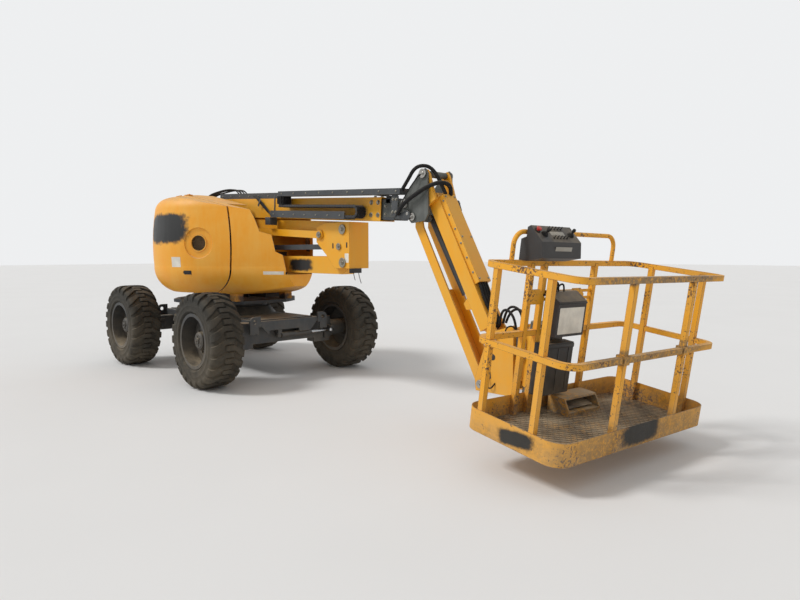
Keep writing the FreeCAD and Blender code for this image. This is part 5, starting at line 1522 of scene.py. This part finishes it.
class LIFT_OT_boxes(bpy.types.Operator):
    """Ribs, lid, blank label and the pedal's plate on the platform's boxes"""

    bl_idname = "lift.boxes"
    bl_label = "Platform boxes"

    def execute(self, context):
        wall = -0.365 + 0.0003
        face_x = wall + 0.130
        rim = slab(rounded_outline(0.336, 0.012, 0.004), 0.006, 0.0015)
        ribs = [moved(rim, BASKET_FRAME @ facing((face_x - 0.001, -0.065, MID_RAIL + 0.216), TO_FRONT))]
        front = -0.361 + 0.0003 + 0.092
        for y in (-0.235, -0.115, 0.005):
            bar = slab(rounded_outline(0.014, 0.330, 0.004), 0.004, 0.001)
            ribs.append(moved(bar, BASKET_FRAME @ facing((front - 0.001, y, 0.350), TO_FRONT)))
        lid = slab(rounded_outline(0.346, 0.030, 0.006), 0.006, 0.0015)
        ribs.append(moved(lid, BASKET_FRAME @ facing((front - 0.001, -0.115, 0.528), TO_FRONT)))
        make_piece("box_ribs", joined(ribs), "black_plastic", "platform")
        label = slab(rounded_outline(0.290, 0.196, 0.006), 0.0010, 0.0003)
        spot = BASKET_FRAME @ facing((face_x, -0.065, MID_RAIL + 0.086), TO_FRONT)
        make_piece("switch_label", moved(label, spot), "label_film", "platform")
        plate = slab(rounded_outline(0.300, 0.110, 0.006), 0.006, 0.0015)
        spot = BASKET_FRAME @ frame_matrix(turn_about(AXIS_Y, 12.0) @ turn_about(AXIS_Z, 90.0),
                                           (-0.245, 0.150, 0.060))
        make_piece("pedal_plate", moved(plate, spot), "worn_floor", "platform")
        return {"FINISHED"}


class LIFT_OT_platform_frame(bpy.types.Operator):
    """Cross bars behind the switch box and the gusset plates of the console"""

    bl_idname = "lift.platform_frame"
    bl_label = "Platform frame"

    def execute(self, context):
        bars = []
        for z in (0.866, 0.922):
            bar = slab(rounded_outline(0.760, 0.022, 0.003), 0.012, 0.0015)
            bars.append(moved(bar, BASKET_FRAME @ facing((-0.3850, -0.030, z), TO_FRONT)))
        outline = [(-0.075, -0.055), (0.075, -0.055), (0.075, 0.010), (0.030, 0.055), (-0.075, 0.055)]
        plate = slab(outline, 0.006, 0.001)
        for y in (-0.338, 0.150):
            bars.append(moved(plate, BASKET_FRAME @ facing((-0.3665, y, 0.890), TO_FRONT)))
        make_piece("platform_bars", joined(bars), "platform_paint", "platform")
        return {"FINISHED"}


class LIFT_OT_platform_cables(bpy.types.Operator):
    """Cables that loop from the console down to the switch box and from the jib to the rotator"""

    bl_idname = "lift.platform_cables"
    bl_label = "Platform cables"

    def execute(self, context):
        loops = ((-0.140, 0.075, 0.095), (-0.075, 0.060, 0.100), (-0.165, 0.100, 0.082))
        for number, (y, rise, reach) in enumerate(loops):
            route = [
                (-0.325, y, 0.930), (-0.325, y - 0.004, 0.930 + rise * 0.7),
                (-0.322, y - reach * 0.35, 0.930 + rise),
                (-0.318, y - reach * 0.75, 0.930 + rise * 0.75), (-0.325, y - reach, 0.930 + rise * 0.1),
                (-0.345, y - reach - 0.012, 0.905), (-0.372, y - reach - 0.014, 0.895)]
            make_cord("switch_loop_%d" % number, carried(route, BASKET_FRAME), 0.0068, "platform")
        runs = (
            ((4.315, -0.036, 0.905), (4.335, -0.050, 0.975), (4.385, -0.075, 1.030), (4.455, -0.090, 1.020),
             (4.512, -0.092, 0.940), (4.519, -0.090, 0.845)),
            ((4.325, 0.000, 0.905), (4.350, -0.010, 0.990), (4.410, -0.018, 1.055), (4.490, -0.020, 1.040),
             (4.532, -0.018, 0.960), (4.521, -0.015, 0.875)),
            ((4.325, 0.038, 0.905), (4.348, 0.042, 0.975), (4.405, 0.055, 1.030), (4.480, 0.060, 1.010),
             (4.522, 0.060, 0.935), (4.519, 0.056, 0.860)),
        )
        for number, route in enumerate(runs):
            make_cord("rotator_hose_%d" % number, np.array(route), 0.0105, "jib_bracket")
        return {"FINISHED"}


class LIFT_OT_rotator_fittings(bpy.types.Operator):
    """The grey box with its blank label, cable loops and bolts round the rotator"""

    bl_idname = "lift.rotator_fittings"
    bl_label = "Rotator fittings"

    def execute(self, context):
        box = slab(rounded_outline(0.120, 0.170, 0.008), 0.060, 0.004)
        spot = facing((4.5305 - 0.001, -0.050, 0.735), TO_FRONT)
        make_piece("junction_box", moved(box, spot), "grey_box", "jib_bracket")
        label = slab(rounded_outline(0.080, 0.105, 0.005), 0.0010, 0.0003)
        spot = facing((4.5898, -0.050, 0.735), TO_FRONT)
        make_piece("junction_label", moved(label, spot), "label_film", "jib_bracket")
        caps = repeated(hex_bolt(0.017, 0.009, washer=0.013), circle_places(0.056, 8, 0.640))
        make_piece("rotator_bolts", moved(caps, ROTATOR_FRAME), "zinc_bolt", "platform")
        # The round hole and the slot are thin black sheets: painted shade where the bracket's openings are
        outline = rounded_outline(0.052, 0.052, 0.0255, 8)
        hole = moved(slab(outline, 0.0015, 0.0005), facing((4.330, -0.1449, 0.640), TO_RIGHT))
        slot = moved(slab(rounded_outline(0.024, 0.088, 0.0118, 8), 0.0015, 0.0005),
                     facing((4.300, -0.1449, 0.500), TO_RIGHT, 8.0))
        make_piece("bracket_openings", joined([hole, slot]), "black_plastic", "jib_bracket")
        loops = (
            ((4.290, -0.1460, 0.515), (4.286, -0.172, 0.500), (4.292, -0.178, 0.430), (4.312, -0.176, 0.388),
             (4.336, -0.170, 0.388), (4.350, -0.158, 0.412), (4.356, -0.1455, 0.430)),
            ((4.470, -0.1455, 0.840), (4.470, -0.176, 0.855), (4.490, -0.182, 0.900), (4.524, -0.160, 0.915),
             (4.545, -0.125, 0.880), (4.550, -0.095, 0.832), (4.552, -0.070, 0.800)),
        )
        for number, route in enumerate(loops):
            make_cord("bracket_loop_%d" % number, np.array(route), 0.0058, "jib_bracket")
        return {"FINISHED"}


# Stage
class LIFT_OT_stage(bpy.types.Operator):
    """Makes the floor, the studio light and the camera"""

    bl_idname = "lift.stage"
    bl_label = "Stage"

    def execute(self, context):
        stage = context.scene.lift_stage
        make_floor(stage.floor_size)
        make_light(context.scene)
        make_camera(context.scene, stage)
        return {"FINISHED"}


def make_floor(size):
    """A flat square floor, half its size to each side of the lift."""
    half = size / 2
    mesh = bpy.data.meshes.new("floor")
    corners = [(-half, -half, 0), (half, -half, 0), (half, half, 0), (-half, half, 0)]
    mesh.from_pydata(corners, [], [(0, 1, 2, 3)])
    floor = bpy.data.objects.new("floor", mesh)
    bpy.context.scene.collection.objects.link(floor)
    material, tree, shader = new_material("floor_paint")
    tone = noise(tree, object_place(tree), 0.6, 2.0)
    colour = blend_colour(tree, tone, (0.74, 0.73, 0.715), (0.78, 0.77, 0.755))
    tree.links.new(colour, shader.inputs["Base Color"])
    shader.inputs["Roughness"].default_value = 0.9
    mesh.materials.append(material)


def make_light(scene):
    """An even white surround, with one broad soft lamp from the right rear."""
    world = bpy.data.worlds.new("studio")
    scene.world = world
    world.use_nodes = True
    tree = world.node_tree
    tree.nodes.clear()
    paths = tree.nodes.new("ShaderNodeLightPath").outputs
    seen = maths(tree, "MAXIMUM", paths["Is Camera Ray"], paths["Is Glossy Ray"])
    seen = maths(tree, "MAXIMUM", seen, paths["Is Transmission Ray"])
    background = tree.nodes.new("ShaderNodeBackground")
    background.inputs["Color"].default_value = (0.93, 0.94, 0.95, 1.0)
    tree.links.new(blend_value(tree, seen, 0.62, 0.92), background.inputs["Strength"])
    output = tree.nodes.new("ShaderNodeOutputWorld")
    tree.links.new(background.outputs[0], output.inputs["Surface"])
    lamp = bpy.data.lights.new("soft_key", "SUN")
    lamp.energy = 1.7
    lamp.angle = math.radians(14.0)
    key = bpy.data.objects.new("soft_key", lamp)
    towards = Vector((-0.42, -0.62, 0.78))
    key.rotation_euler = towards.to_track_quat("Z", "Y").to_euler()
    scene.collection.objects.link(key)


def make_camera(scene, stage):
    """The photograph's viewpoint: level horizon, looking slightly down."""
    data = bpy.data.cameras.new("photo_view")
    data.sensor_width = 36.0
    data.lens = stage.camera_lens
    camera = bpy.data.objects.new("photo_view", data)
    camera.location = stage.camera_place
    camera.rotation_euler = (math.pi / 2 - stage.camera_dip, 0.0, stage.camera_heading - math.pi / 2)
    scene.collection.objects.link(camera)
    scene.camera = camera
    scene.view_settings.view_transform = "Standard"


class LIFT_PT_panel(bpy.types.Panel):
    """Lists the lift's pieces and settings"""

    bl_idname = "LIFT_PT_panel"
    bl_label = "Boom lift"
    bl_space_type = "VIEW_3D"
    bl_region_type = "UI"
    bl_category = "Boom lift"

    def draw(self, context):
        for group in (context.scene.lift_finishes, context.scene.lift_stage):
            column = self.layout.column(align=True)
            for name in group.__annotations__:
                column.prop(group, name)
        column = self.layout.column(align=True)
        for operator in OPERATORS:
            column.operator(operator.bl_idname)


OPERATORS = (
    LIFT_OT_stage,
    LIFT_OT_finishes,
    LIFT_OT_rear_hoses,
    LIFT_OT_head_hoses,
    LIFT_OT_knuckle_fittings,
    LIFT_OT_rotator_fittings,
    LIFT_OT_platform_cables,
    LIFT_OT_tyres,
    LIFT_OT_wheel_nuts,
    LIFT_OT_cover_labels,
    LIFT_OT_portholes,
    LIFT_OT_nose,
    LIFT_OT_pins,
    LIFT_OT_boom_fittings,
    LIFT_OT_post_conduits,
    LIFT_OT_chain,
    LIFT_OT_tip,
    LIFT_OT_jib_fittings,
    LIFT_OT_platform_floor,
    LIFT_OT_platform_frame,
    LIFT_OT_console,
    LIFT_OT_boxes,
)
SETTINGS = (("lift_finishes", LiftFinishes), ("lift_stage", LiftStage))


def register():
    """Registers the settings, the operators and the panel."""
    for name, group in SETTINGS:
        bpy.utils.register_class(group)
        setattr(bpy.types.Scene, name, bpy.props.PointerProperty(type=group))
    for operator in OPERATORS:
        bpy.utils.register_class(operator)
    bpy.utils.register_class(LIFT_PT_panel)


def unregister():
    """Takes them all away again."""
    bpy.utils.unregister_class(LIFT_PT_panel)
    for operator in reversed(OPERATORS):
        bpy.utils.unregister_class(operator)
    for name, group in reversed(SETTINGS):
        delattr(bpy.types.Scene, name)
        bpy.utils.unregister_class(group)


def main():
    """Registers the add-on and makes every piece."""
    register()
    for operator in OPERATORS:
        group, name = operator.bl_idname.split(".")
        getattr(getattr(bpy.ops, group), name)()


if __name__ == "__main__":
    main()
